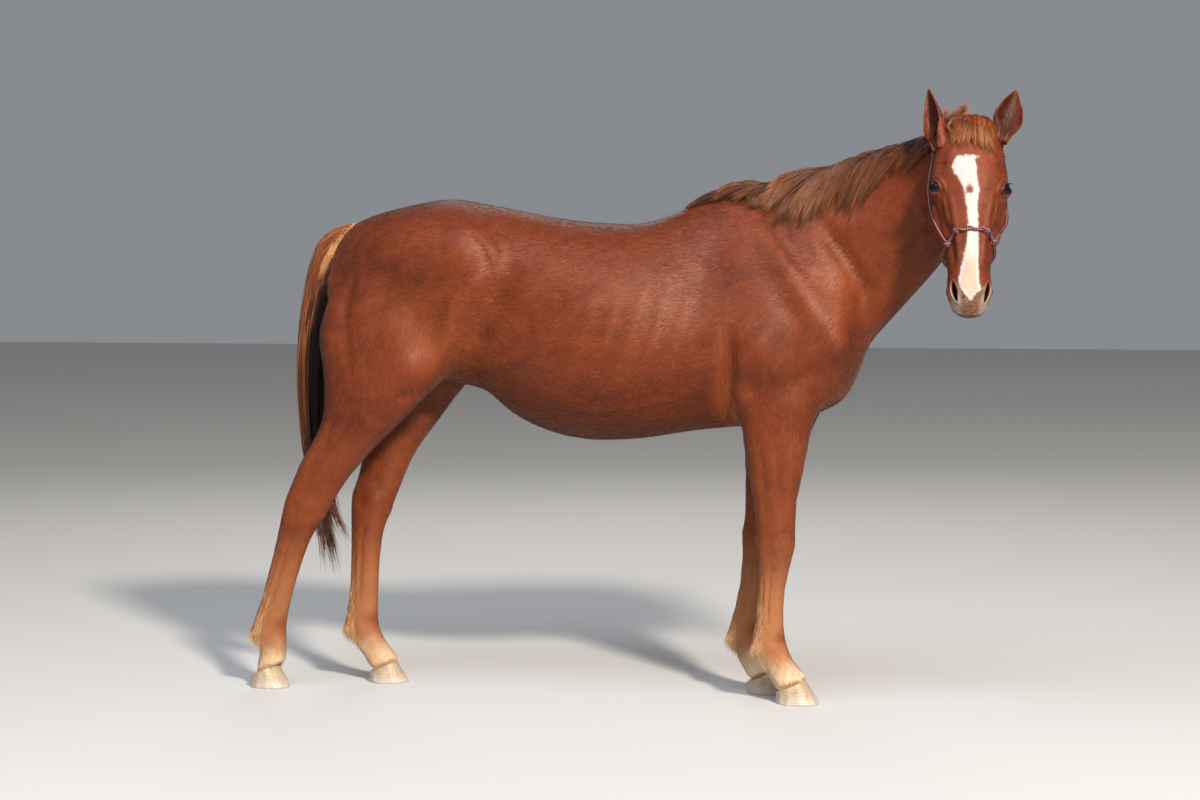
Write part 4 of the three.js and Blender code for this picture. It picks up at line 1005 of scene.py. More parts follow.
# The coat's colour from its marks, for skin and tufts alike; the tufts add their own tint.
def coatMaterial(name, onTufts):
    material, tree, output = newMaterial(name)
    place = addNode(tree, "TexCoord").outputs["Object"]
    where = addNode(tree, "Attribute", attribute_name="root").outputs["Vector"] if onTufts else place

    def mark(kind):
        return addNode(tree, "Attribute", attribute_name=kind).outputs["Fac"]

    def blend(share, under, over):
        under = under if isinstance(under, bpy.types.NodeSocket) else toLinear(under)
        over = over if isinstance(over, bpy.types.NodeSocket) else toLinear(over)
        return addNode(tree, "Mix", {0: share, 6: under, 7: over}, data_type="RGBA").outputs[2]

    broad = addNode(tree, "TexNoise", {"Vector": where, "Scale": 3.2, "Detail": 2.0})
    patchy = addNode(tree, "TexNoise", {"Vector": where, "Scale": 26.0, "Detail": 3.0, "Roughness": 0.6})
    low = addNode(tree, "MapRange", {0: broad, 1: 0.38, 2: 0.62})
    high = addNode(tree, "MapRange", {0: patchy, 1: 0.35, 2: 0.70})
    colour = blend(low, coatLook["deep"], coatLook["base"])
    colour = blend(addNode(tree, "Math", {0: high, 1: 0.6}, operation="MULTIPLY").outputs[0], colour, coatLook["light"])
    if onTufts:
        tint = mark("tint")
        colour = blend(tint, blend(0.55, colour, coatLook["deep"]), blend(0.45, colour, coatLook["light"]))
    # warm: orange coat tone, with painted light at the elbow and shoulder front.
    colour = blend(mark("warm"), colour, coatLook["warm"])
    colour = blend(mark("tan"), colour, coatLook["tan"])
    legTone = blend(high, coatLook["pale"], coatLook["cream"])
    colour = blend(mark("pale"), colour, legTone)
    stubble = addNode(tree, "TexNoise", {"Vector": where, "Scale": 420.0, "Detail": 2.0})
    mottled = blend(addNode(tree, "MapRange", {0: stubble, 1: 0.50, 2: 0.68, 4: 0.72}).outputs[0], coatLook["muzzle"],
                    coatLook["muzzleLight"])
    mottled = blend(mark("grey"), mottled, coatLook["grey"])
    colour = blend(mark("muzzle"), colour, mottled)
    colour = blend(mark("white"), colour, coatLook["white"])
    colour = blend(mark("pink"), colour, coatLook["pink"])
    colour = blend(mark("lid"), colour, coatLook["lid"])
    colour = blend(mark("bare"), colour, coatLook["bare"])
    # lip: dark lip skin, and painted shade in the mouth crease.
    colour = blend(mark("lip"), colour, coatLook["lip"])
    # hollow: painted shade inside the ear cups.
    colour = blend(mark("hollow"), colour, coatLook["hollow"])
    # dark: the dark lid rims, and painted shade deep in the nostrils.
    colour = blend(mark("dark"), colour, coatLook["dark"])
    shader = addNode(tree, "BsdfPrincipled", {"Base Color": colour, "Roughness": coatLook["roughness"], "IOR": 1.45,
                                              "Specular IOR Level": 0.42, "Specular Tint": toLinear("#f4d6c6"),
                                              "Sheen Weight": 0.08, "Sheen Roughness": 0.35,
                                              "Sheen Tint": toLinear("#e8b9a0")})
    if not onTufts:
        # Fine streaks along the lie of the hair: the same grain read at several places along it and averaged.
        lie = addNode(tree, "Attribute", attribute_name="lay").outputs["Vector"]
        grain = None
        for step in (-4.5, -2.2, 0.0, 2.2, 4.5):
            shift = addNode(tree, "VectorMath", {0: lie, 3: step * mm}, operation="SCALE")
            moved = addNode(tree, "VectorMath", {0: place, 1: shift}, operation="ADD")
            read = addNode(tree, "TexNoise", {"Vector": moved, "Scale": 520.0, "Detail": 1.0})
            grain = read if grain is None else addNode(tree, "Math", {0: grain, 1: read}, operation="ADD")
        bump = addNode(tree, "Bump", {"Height": grain, "Strength": 0.35, "Distance": 1.2 * mm})
        tree.links.new(bump.outputs[0], shader.inputs["Normal"])
    tree.links.new(shader.outputs[0], output.inputs[0])
    return material


skinMesh.shade_smooth()
skinMesh.materials.clear()
for kind, values in paint(points, normals, np.zeros(len(points))).items():
    setFloats(skinMesh, kind, values)
setVectors(skinMesh, "lay", lay)
skin = newObject("skin", skinMesh, coatMaterial("chestnut_skin_under_short_hair", False), partNames, "coat")

bpy.context.view_layer.objects.active = skin
skin.select_set(True)
bpy.ops.object.mode_set(mode="EDIT")
bpy.ops.mesh.select_all(action="SELECT")
bpy.ops.uv.smart_project(angle_limit=math.radians(60), island_margin=0.001)
bpy.ops.object.mode_set(mode="OBJECT")
skinMesh.uv_layers.active.name = "OFBake"
print("skin unwrapped and painted", len(skinMesh.polygons))


# ---- hair as solid strands: each is a row of three-sided rings that narrows to a tip ----

# paths holds every strand's places from root to tip, width its breadth at each ring, up the way it faces.
def hairMesh(name, paths, width, up, rootUv, patch=0.003, flat=0.6, top=90, out=None):
    count, rings = paths.shape[0], paths.shape[1]
    along = np.gradient(paths, axis=1)
    aside = unit(np.cross(along, up[:, None, :]))
    lift = unit(np.cross(aside, along))
    corners = []
    for turn in (0, 120, 240):
        a = math.radians(top + turn)
        corners.append(paths[:, :-1] + (aside[:, :-1] * math.cos(a) + lift[:, :-1] * math.sin(a) * flat)
                       * width[:, :-1, None] / 2)
    ringVerts = np.stack(corners, 2).reshape(count, (rings - 1) * 3, 3)
    verts = np.concatenate([ringVerts, paths[:, -1:]], 1)
    perStrand = verts.shape[1]
    quads, triangles = [], []
    for r in range(rings - 2):
        for c in range(3):
            d = (c + 1) % 3
            quads.append((r * 3 + d, r * 3 + c, r * 3 + 3 + c, r * 3 + 3 + d))
    last = (rings - 2) * 3
    for c in range(3):
        triangles.append((last + (c + 1) % 3, last + c, perStrand - 1))
    triangles.append((0, 1, 2))
    start = (np.arange(count) * perStrand)[:, None, None]
    triangles = (np.array(triangles)[None] + start).reshape(-1, 3)
    corner = [triangles.ravel()]
    sizes = [np.full(len(triangles), 3)]
    if quads:
        quads = (np.array(quads)[None] + start).reshape(-1, 4)
        corner.append(quads.ravel())
        sizes.append(np.full(len(quads), 4))
    corner = np.concatenate(corner)
    sizes = np.concatenate(sizes)
    mesh = bpy.data.meshes.new(name)
    mesh.vertices.add(count * perStrand)
    mesh.vertices.foreach_set("co", verts.ravel().astype(np.float32))
    mesh.loops.add(len(corner))
    mesh.loops.foreach_set("vertex_index", corner.astype(np.int32))
    mesh.polygons.add(len(sizes))
    mesh.polygons.foreach_set("loop_start", np.concatenate([[0], np.cumsum(sizes)[:-1]]).astype(np.int32))
    mesh.update(calc_edges=True)
    spot = np.zeros((perStrand, 2))
    for c in range(3):
        a = math.radians(90 + 120 * c)
        for r in range(rings - 1):
            spot[r * 3 + c] = np.array([math.cos(a), math.sin(a)]) * (0.5 - 0.4 * r / max(rings - 1, 1))
    uv = (rootUv[:, None, :] + spot[None] * patch).reshape(-1, 2)
    layer = mesh.uv_layers.new(name="OFBake")
    layer.data.foreach_set("uv", uv[corner].ravel().astype(np.float32))
    mesh.shade_smooth()
    if out is not None:
        mesh.normals_split_custom_set_from_vertices(np.repeat(out, perStrand, 0).tolist())
    return mesh, perStrand


def strandFloats(mesh, name, values, perStrand):
    setFloats(mesh, name, np.repeat(values, perStrand))


# Places on the skin, as many to each square metre as wanted there.
class SkinSample:
    def __init__(self, mesh):
        self.mesh = mesh
        mesh.calc_loop_triangles()
        count = len(mesh.loop_triangles)
        self.verts = np.empty(count * 3, np.int32)
        self.loops = np.empty(count * 3, np.int32)
        mesh.loop_triangles.foreach_get("vertices", self.verts)
        mesh.loop_triangles.foreach_get("loops", self.loops)
        self.verts, self.loops = self.verts.reshape(-1, 3), self.loops.reshape(-1, 3)
        self.points, self.normals = pointsOf(mesh), normalsOf(mesh)
        uv = np.empty(len(mesh.loops) * 2, np.float32)
        mesh.uv_layers["OFBake"].data.foreach_get("uv", uv)
        self.uv = uv.reshape(-1, 2)
        a, b, c = (self.points[self.verts[:, k]] for k in range(3))
        self.area = np.linalg.norm(np.cross(b - a, c - a), axis=1) / 2

    def scatter(self, density):
        expected = self.area * density[self.verts].mean(1)
        many = np.floor(expected + dice.random(len(expected))).astype(int)
        chosen = np.repeat(np.arange(len(many)), many)
        share = dice.random((len(chosen), 2))
        flip = share.sum(1) > 1
        share[flip] = 1 - share[flip]
        weights = np.stack([1 - share.sum(1), share[:, 0], share[:, 1]], 1)
        return chosen, weights

    def at(self, values, chosen, weights):
        return np.einsum("ij,ijk->ik", weights, values.reshape(len(self.points), -1)[self.verts[chosen]])

    def uvAt(self, chosen, weights):
        return np.einsum("ij,ijk->ik", weights, self.uv[self.loops[chosen]])


sample = SkinSample(skinMesh)
skinTree = facesTree(skinMesh)


# Moves places onto the skin, each lifted off it by its own height.
def laidOn(places, lift):
    found = [skinTree.find_nearest(place)[:2] for place in places.tolist()]
    return np.array([spot for spot, _ in found]) + np.array([way for _, way in found]) * np.asarray(lift)[:, None]

# How the tufts change over the body: their number to the square metre, length, breadth and lift in mm.
tuftKinds = dict(body=(36000, 19, 3.0, 1.5), face=(120000, 7.5, 1.5, 0.8), legs=(43000, 13, 2.3, 1.0),
                 ear=(130000, 9, 1.4, 0.8), muzzle=(60000, 4.0, 1.0, 1.2), long=(42000, 30, 3.4, 4.5), none=(0, 5, 1, 0.5))


def blendKinds(points, normals, owner):
    x, y, z = (points - asArray(onBody(0, 0, 0))).T
    u, v, w = headPlace(points)
    values = np.tile(np.array(tuftKinds["body"], float), (len(points), 1))

    def towards(kind, share):
        nonlocal values
        share = np.clip(share, 0, 1)[:, None]
        values = values * (1 - share) + np.array(tuftKinds[kind], float) * share

    isHead = owner == partNames.index("head")
    isEar = owner >= partNames.index("ear_left")
    belly = smoothStep(-0.2, -0.75, normals[:, 2]) * (z > 0.8) * (z < 1.05) * (x < 0.5) * (x > -0.45)
    towards("long", 0.8 * belly)
    elbow = np.exp(-((x - 0.475) / 0.035) ** 2 - ((z - 0.93) / 0.10) ** 2)
    flank = np.exp(-((x + 0.42) / 0.07) ** 2 - ((z - 0.99) / 0.05) ** 2)
    chest = np.exp(-((x - 0.83) / 0.06) ** 2 - ((z - 1.05) / 0.10) ** 2)
    thigh = np.exp(-((x + 0.62) / 0.14) ** 2 - ((z - 0.90) / 0.05) ** 2)
    towards("long", np.maximum.reduce([elbow, 0.9 * flank, 0.5 * chest, 0.4 * thigh]))
    towards("legs", smoothStep(0.92, 0.68, z))
    towards("face", isHead * smoothStep(-0.02, 0.05, u))
    towards("muzzle", isHead * smoothStep(0.47, 0.52, u))
    towards("ear", isEar * 1.0)
    return values


def tuftsOn(name, wanted, lengthen=1.0):
    kinds = blendKinds(points, normals, owner)
    density = kinds[:, 0] * wanted * (1 - hidden)
    chosen, weights = sample.scatter(density)
    root = sample.at(points, chosen, weights)
    normal = unit(sample.at(normals, chosen, weights))
    lie = sample.at(lay, chosen, weights)
    lie = unit(lie + dice.normal(0, 0.10, lie.shape))
    shape = sample.at(kinds, chosen, weights)
    long = shape[:, 1] * mm * dice.uniform(0.7, 1.3, len(root)) * lengthen
    wide = shape[:, 2] * mm * dice.uniform(0.75, 1.25, len(root))
    lift = shape[:, 3] * mm * dice.uniform(0.5, 1.5, len(root))
    base = root - normal * 0.35 * mm
    tip = laidOn(root + lie * long[:, None], lift)
    paths = np.stack([base, tip], 1)
    width = np.stack([wide, wide * 0], 1)
    mesh, perStrand = hairMesh(name, paths, width, normal, sample.uvAt(chosen, weights), flat=0.5, top=270,
                               out=unit(normal + np.cross(lie, normal) * dice.normal(0, 0.11, (len(root), 1))))
    for kind, values in paint(root, normal, dice.normal(0, 1, len(root))).items():
        strandFloats(mesh, kind, values, perStrand)
    strandFloats(mesh, "tint", np.clip(dice.normal(0.5, 0.22, len(root)), 0, 1), perStrand)
    setVectors(mesh, "root", np.repeat(root, perStrand, 0))
    print(name, len(root))
    return mesh


# No tufts inside the eye sockets and nostrils, or on the lid edges.
hidden = np.zeros(len(points))
for eye in eyes.values():
    away = np.linalg.norm(points - eye["centre"], axis=1)
    hidden = np.maximum(hidden, away < eyeShape["radius"] + 3.2 * mm)
for nostril in nostrils:
    local = (points - nostril["centre"]) @ nostril["axes"].T
    past = np.hypot(local[:, 0], local[:, 1]) - nostrilOutline(np.arctan2(local[:, 1], local[:, 0]))
    hidden = np.maximum(hidden, (past < 2 * mm) & (np.abs(local[:, 2]) < 0.04))

x, y, z = (points - asArray(onBody(0, 0, 0))).T
isHead = (owner == partNames.index("head")) | (owner >= partNames.index("ear_left"))
lower = ~isHead & (z < 0.9)
upper = ~isHead & ~lower
coatPieces = dict(coat_head=isHead, coat_neck_and_shoulder_right=upper & (x > 0.45) & (normals[:, 1] < 0),
                  coat_neck_and_shoulder_left=upper & (x > 0.45) & (normals[:, 1] >= 0),
                  coat_barrel_right=upper & (x <= 0.45) & (x > -0.3) & (normals[:, 1] < 0),
                  coat_barrel_left=upper & (x <= 0.45) & (x > -0.3) & (normals[:, 1] >= 0),
                  coat_quarters_right=upper & (x <= -0.3) & (normals[:, 1] < 0),
                  coat_quarters_left=upper & (x <= -0.3) & (normals[:, 1] >= 0),
                  coat_fore_legs=lower & (x > 0), coat_hind_legs=lower & (x <= 0))
tuftMaterial = coatMaterial("chestnut_hair_in_short_tufts", True)
for name, wanted in coatPieces.items():
    newObject(name, tuftsOn(name, wanted), tuftMaterial, partNames, "coat")


# ---- long hair, combed in locks ----

hairLook = dict(mane=("#3d1b0f", "#68361f", "#ad7448", "#210d07"), forelock=("#4c1e0d", "#86401a", "#c88648", "#2c1208"),
                tail=("#a8693c", "#864a29", "#5a3019", "#100a09"), dock=("#b98354", "#c08d60", "#a8703f", "#5a3019"), feather=("#b18255", "#c89e6e", "#dfc39a", "#7a4a2a"),
                tan=("#8f5229", "#a9693b", "#bf8351", "#5a2c14"), ear=("#2c0f06", "#4e1f0d", "#6e3416", "#1c0b05"),
                lash=("#120a07", "#1c100b", "#2a1a12", "#0c0604"), roughness=0.42)


def hairMaterial(name, colours, gloss=0.35):
    root, middle, tip, deep = colours
    material, tree, output = newMaterial(name)
    along = addNode(tree, "Attribute", attribute_name="along").outputs["Fac"]
    tint = addNode(tree, "Attribute", attribute_name="tint").outputs["Fac"]
    shade = addNode(tree, "Attribute", attribute_name="shade").outputs["Fac"]
    reach = addNode(tree, "Math", {0: along, 1: addNode(tree, "MapRange", {0: tint, 3: -0.35, 4: 0.35})}, operation="ADD")
    ramp = addNode(tree, "ValToRGB", {0: reach})
    stops = ramp.color_ramp.elements
    stops[0].color, stops[1].color = toLinear(root), toLinear(tip)
    stops.new(0.42).color = toLinear(middle)
    # shade mixes in the fourth, deepest colour; on the mane, forelock and tail it is painted shade.
    colour = addNode(tree, "Mix", {0: shade, 6: ramp.outputs[0], 7: toLinear(deep)}, data_type="RGBA")
    shader = addNode(tree, "BsdfPrincipled", {"Base Color": colour.outputs[2], "Roughness": hairLook["roughness"],
                                              "Specular IOR Level": gloss,
                                              "IOR": 1.55})
    tree.links.new(shader.outputs[0], output.inputs[0])
    return material


# Makes locks of strands round guide paths. Each strand keeps its place in the lock and ends at its own length.
def combed(name, guides, ups, shade, perLock, spreadRoot, spreadTip, thick, width, rings=6, wave=3 * mm, shortest=0.6):
    guides, ups = np.array(guides), unit(np.array(ups))
    count, steps = guides.shape[:2]
    lock = np.repeat(np.arange(count), perLock)
    total = len(lock)
    aside = unit(np.cross(np.gradient(guides, axis=1), ups))
    reach = dice.uniform(shortest, 1.0, total) ** 0.8
    t = np.linspace(0, 1, rings)[None] * reach[:, None]
    at = t * (steps - 1)
    low = np.clip(at.astype(int), 0, steps - 2)
    part = (at - low)[..., None]

    def along(values):
        return values[lock[:, None], low] * (1 - part) + values[lock[:, None], low + 1] * part

    sidewise = dice.normal(0, 0.5, total)[:, None]
    outwards = dice.random(total)[:, None]
    spread = spreadRoot + (spreadTip - spreadRoot) * t
    phase = np.repeat(dice.uniform(0, 6.3, count), perLock)[:, None] + dice.normal(0, 0.5, total)[:, None]
    sway = wave * np.sin(phase + t * np.repeat(dice.uniform(3, 7, count), perLock)[:, None]) * t
    sway += dice.normal(0, 0.6, total)[:, None] * wave * t ** 2
    paths = along(guides) + along(aside) * (sidewise * spread + sway)[..., None]
    paths += along(ups) * (outwards * thick * np.sin(np.clip(t * 1.15 + 0.1, 0, 1) * np.pi) ** 0.6)[..., None]
    breadth = width * dice.uniform(0.7, 1.3, total)[:, None] * np.interp(np.linspace(0, 1, rings), (0, 0.2, 0.7, 1),
                                                                        (0.7, 1.0, 0.75, 0.1))[None]
    rootUv = rootUvs(paths[:, 0])
    mesh, perStrand = hairMesh(name, paths, breadth, unit(along(ups)[:, 1]), rootUv)
    strandFloats(mesh, "tint", np.clip(np.repeat(dice.normal(0.5, 0.2, count), perLock)
                                       + dice.normal(0, 0.18, total), 0, 1), perStrand)
    depth = along(np.array(shade)[..., None])[..., 0] + dice.normal(0, 0.08, total)[:, None]
    for kind, values in (("along", t), ("shade", np.clip(depth, 0, 1))):
        setFloats(mesh, kind, np.concatenate([np.repeat(values[:, :-1], 3, axis=1), values[:, -1:]], 1).ravel())
    print(name, total)
    return mesh


# Where each root lies on the skin's unwrap.
def rootUvs(places):
    uvs = []
    for place in places.tolist():
        spot, _, index, _ = skinTree.find_nearest(place)
        loops = skinMesh.polygons[index].loop_indices
        uvs.append(np.mean([sample.uv[k] for k in loops], axis=0))
    return np.array(uvs)


# The crest: the highest places of the neck and withers, evened out.
crestX = np.arange(0.30, 1.07, 0.01)
bodyPoints = points - asArray(onBody(0, 0, 0))
topPoints = bodyPoints[(owner == partNames.index("neck")) | (owner == partNames.index("trunk"))]
crest = []
for forward in crestX:
    near = topPoints[np.abs(topPoints[:, 0] - forward) < 0.012]
    crest.append(near[near[:, 2].argsort()[-6:]].mean(0))
crest = np.array(crest)
for _ in range(6):
    crest[1:-1] = (crest[:-2] + 2 * crest[1:-1] + crest[2:]) / 4
# From the last of these it runs on to the poll between the ears.
poll = asArray(skinTree.find_nearest(Vector(onHead(-0.03, 0.0, -0.06)))[0]) - asArray(onBody(0, 0, 0))
crest = np.concatenate([crest, crest[-1] + (poll - crest[-1]) * np.linspace(0, 1, 10)[1:, None]])
crestX = np.append(crestX, crestX[-1] + 0.01 * np.arange(1, 10))


def onCrest(forward):
    return np.array([np.interp(forward, crestX, crest[:, k]) for k in range(3)])


# The mane: how far back and how low its locks reach, for places forward along the crest.
mane = dict(locks=208, clumps=52, perLock=26, steps=12, width=2.0 * mm, thick=10 * mm, spreadRoot=24 * mm, spreadTip=9 * mm,
            wave=4 * mm, backAt=(0.36, 0.5, 0.6, 0.7, 0.8, 0.9, 1.0, 1.07, 1.15),
            back=(0.10, 0.13, 0.14, 0.16, 0.17, 0.17, 0.15, 0.13, 0.12),
            lowAt=(0.25, 0.34, 0.417, 0.50, 0.545, 0.567, 0.606, 0.667, 0.74, 0.831, 0.847, 0.885, 0.932, 0.964, 1.0, 1.05, 1.15),
            low=(1.535, 1.53, 1.519, 1.505, 1.480, 1.440, 1.424, 1.452, 1.448, 1.455, 1.50, 1.555, 1.59, 1.59, 1.64, 1.68, 1.70))
guides, ups, shades = [], [], []
origin = asArray(onBody(0, 0, 0))
clumps = [dict(reach=dice.uniform(0.70, 1.30), hang=dice.random() ** 0.55, turn=dice.uniform(1.2, 2.8),
               flick=dice.normal(0, 0.014), layer=dice.random(), deep=dice.uniform(0, 0.35)) for _ in range(mane["clumps"])]
for k in range(mane["locks"]):
    forward = 0.38 + 0.77 * ((k + dice.random()) / mane["locks"]) ** 0.85
    across = dice.uniform(-1, 1)
    which = min(int((k + dice.normal(0, 1.5)) / mane["locks"] * mane["clumps"]), mane["clumps"] - 1)
    clump = clumps[max(which, 0)]
    centre = 0.38 + 0.77 * ((max(which, 0) + 0.5) / mane["clumps"]) ** 0.85
    layer = min(max(clump["layer"] + dice.normal(0, 0.22), 0), 1)
    tipX = 0.65 * centre + 0.35 * forward - np.interp(forward, mane["backAt"], mane["back"]) * clump["reach"] * dice.uniform(0.9, 1.08)
    backwards = max(forward - tipX, 0.02)
    tipX = forward - backwards
    crestZ = onCrest(max(tipX, crestX[0]))[2]
    hang = (0.66 + 0.50 * clump["hang"]) * dice.uniform(0.74, 1.12)
    drop = (crestZ - np.interp(tipX, mane["lowAt"], mane["low"])) * hang
    turnDown = clump["turn"] * dice.uniform(0.9, 1.1)
    flick = clump["flick"] + dice.normal(0, 0.005)
    dip = math.exp(-((forward - backwards / 2 - 0.60) / 0.07) ** 2)
    path, up, shade = [], [], []
    for t in np.linspace(0, 1, mane["steps"]):
        x = forward - backwards * (1 - (1 - t) ** 1.35)
        crestHere = onCrest(max(x, crestX[0]))
        z = crestHere[2] - drop * t ** turnDown + flick * math.sin(math.pi * t) * t
        reach = 0.6 if x < 0.95 else 0.11
        start = Vector(origin + (crestHere[0], crestHere[1] - reach, min(z, crestHere[2] - 0.004)))
        spot, way = skinTree.ray_cast(start, Vector((0, 1, 0)))[:2]
        side = asArray(spot) if spot is not None else origin + crestHere
        over = smoothStep(0.0, 0.25, t)
        place = (origin + crestHere + (0, 0.012 * across, 0.0)) * (1 - over) + side * over
        found, way = skinTree.find_nearest(Vector(place))[:2]
        rise = 8.0 + 20.0 * math.sin(math.pi * min(t * 0.95 + 0.16, 1)) + 16.0 * dip * math.sin(math.pi * t)
        lift = 2.0 + layer * rise * (1 - 0.6 * smoothStep(0.93, 1.02, forward)) * (1 - 0.55 * smoothStep(0.44, 0.34, x))
        path.append(asArray(found) + asArray(way) * lift * mm)
        up.append(way)
        # Painted shade: under-layer locks, nearest the neck, are mixed towards the dark colour, most near their roots;
        # each clump adds its own depth.
        shade.append(0.75 * (1 - layer) ** 1.5 * (0.4 + 0.6 * (1 - t)))
    guides.append(path)
    ups.append(up)
    shades.append(np.array(shade) + clump["deep"] + 0.12 * dice.random())
maneMesh = combed("mane", guides, ups, shades, mane["perLock"], mane["spreadRoot"], mane["spreadTip"], mane["thick"],
                  mane["width"], wave=mane["wave"], shortest=0.62)
newObject("mane_locks", maneMesh, hairMaterial("sunbleached_mane_hair_with_painted_shade", hairLook["mane"]), ["mane"], "mane_hair")

# The forelock: springs from the poll between the ears, parts, and fans out over the forehead to both sides.
forelock = dict(locks=112, perLock=21, steps=12, width=1.6 * mm, spreadRoot=10 * mm, spreadTip=3.5 * mm, thick=6 * mm,
                fan=(-1, -0.8, -0.55, -0.3, -0.05, 0.2, 0.5, 0.8, 1.0),
                startAside=(-0.034, -0.026, -0.018, -0.009, -0.001, 0.008, 0.018, 0.028, 0.036),
                startDown=(-0.008, -0.017, -0.024, -0.028, -0.030, -0.030, -0.028, -0.022, -0.012),
                tipAside=(-0.116, -0.106, -0.088, -0.066, -0.034, 0.030, 0.060, 0.085, 0.096),
                tipDown=(0.046, 0.064, 0.088, 0.098, 0.086, 0.100, 0.096, 0.096, 0.090))
headTree = facesTree(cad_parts["head"].data)
guides, ups, shades = [], [], []
for k in range(forelock["locks"]):
    q = dice.uniform(-1, 1)
    startU, startV, endU, endV = (np.interp(q, forelock["fan"], forelock[key])
                                  for key in ("startDown", "startAside", "tipDown", "tipAside"))
    startU, startV = startU + dice.normal(0, 0.008), startV + dice.normal(0, 0.007)
    reach = dice.uniform(0.50, 1.12)
    endU, endV = startU + (endU - startU) * reach, startV + (endV - startV) * reach ** 0.4 + dice.normal(0, 0.010)
    swirl, turn = dice.uniform(0.002, 0.009), dice.uniform(0, 6.3)
    layer = dice.random()
    hook, bow = dice.normal(0, 0.007), dice.uniform(0.8, 1.2)
    path, up, ride = [], [], 0.0
    for t in np.linspace(0, 1, forelock["steps"]):
        u = startU + (endU - startU) * t ** 1.25
        v = startV + (endV - startV) * t ** bow + hook * math.sin(math.pi * t * 1.4) + swirl * t * math.sin(turn + 5.5 * t)
        found, way = headTree.find_nearest(Vector(onHead(u, v, 0.05 if u > 0.01 else -0.02)))[:2]
        front = skinTree.ray_cast(Vector(onHead(u, v, 0.3)), Vector(-headW))[0]
        over = 0.0 if front is None else float((asArray(front) - asArray(found)) @ headW)
        ride = max(min(over, 0.024), ride * 0.6) if over > 0 else ride * 0.6
        lift = 2 + (6 + 22 * layer) * math.sin(math.pi * (0.12 + 0.84 * t) ** 0.75) * (1 - 0.40 * t)
        path.append(asArray(found) + unit(headW * 0.9 - headU * 0.45 * (1 - t)) * lift * mm + headW * ride)
        up.append(way)
    guides.append(path)
    ups.append(up)
    # Painted shade: under-layer locks are mixed towards the dark colour, most near their roots.
    shades.append(0.7 * (1 - layer) ** 1.4 * dice.random() * np.linspace(1.0, 0.4, forelock["steps"]))
# Stray locks stand up behind the right ear, where the halter's crown parts the hair.
for k in range(12):
    startV = dice.uniform(-0.074, -0.034)
    aim = -headU * dice.uniform(0.5, 0.9) + headV * dice.uniform(0.0, 0.7) + headW * dice.uniform(-0.1, 0.3)
    start = onHead(dice.uniform(-0.035, -0.010), startV, -0.045)
    start = asArray(skinTree.find_nearest(Vector(start))[0])
    long = dice.uniform(0.055, 0.090)
    guides.append([start + (unit(aim) * t + headU * 0.22 * t ** 2.2) * long for t in np.linspace(0, 1, forelock["steps"])])
    ups.append([headW] * forelock["steps"])
    shades.append(np.linspace(0.5, 0.15, forelock["steps"]))
forelockMesh = combed("forelock", guides, ups, shades, forelock["perLock"], forelock["spreadRoot"], forelock["spreadTip"],
                      forelock["thick"], forelock["width"], wave=4 * mm, shortest=0.45)
newObject("forelock_locks", forelockMesh, hairMaterial("sunbleached_forelock_hair_with_painted_shade", hairLook["forelock"]), ["forelock"],
          "mane_hair")

# The tail: hair hangs from the dock along a bending middle line, pale outside and nearly black within; the near black
# is partly darker inner hair and partly painted shade.
tail = dict(locks=150, perLock=20, steps=12, width=2.3 * mm, wisps=16,
            x=(-0.700, -0.775, -0.828, -0.862, -0.885, -0.899, -0.899, -0.884, -0.856, -0.826),
            z=(1.450, 1.437, 1.392, 1.290, 1.150, 0.980, 0.820, 0.660, 0.500, 0.345),
            half=(0.022, 0.040, 0.050, 0.054, 0.054, 0.050, 0.042, 0.034, 0.025, 0.012))
knots = np.linspace(0, 1, len(tail["x"]))
guides, ups, shades = [], [], []
for k in range(tail["locks"]):
    turn = dice.uniform(-np.pi, np.pi)
    layer = min(math.sqrt(dice.random()), 0.9)
    startT = 0.0 + 0.32 * dice.random() ** 1.3
    endT = min(1.0, startT + 0.40 + 0.55 * dice.random() ** 0.9)
    if math.cos(turn) > 0.1:
        endT = min(endT, 0.80 + 0.1 * dice.random())
    loose = dice.normal(0, 0.004)
    path, up, shade = [], [], []
    for t in np.linspace(0, 1, tail["steps"]):
        s = startT + (endT - startT) * t
        middle = np.array([np.interp(s, knots, tail["x"]), 0.0, np.interp(s, knots, tail["z"])])
        ahead = np.array([np.interp(s + 0.02, knots, tail["x"]), 0.0, np.interp(s + 0.02, knots, tail["z"])])
        tangent = unit(ahead - middle + np.array([0, 0, -1e-6]))
        rear = np.cross(tangent, (0, 1, 0))
        if rear[0] > 0:
            rear = -rear
        half = np.interp(s, knots, tail["half"]) * (0.6 + 0.4 * smoothStep(0, 0.4, t)) + loose * t * t
        outwards = rear * math.cos(turn) + np.array([0, 0.85, 0]) * math.sin(turn)
        path.append(origin + middle + outwards * half * layer)
        up.append(unit(outwards + rear * 0.01))
        rearward = math.cos(turn) * layer
        # Painted shade, with the darker inner hair: locks towards the body and below the dock are mixed towards near
        # black.
        shade.append(smoothStep(0.42, 0.02, rearward) * smoothStep(1.34, 1.16, middle[2] + 0.12 * rearward))
    guides.append(path)
    ups.append(up)
    shades.append(shade)
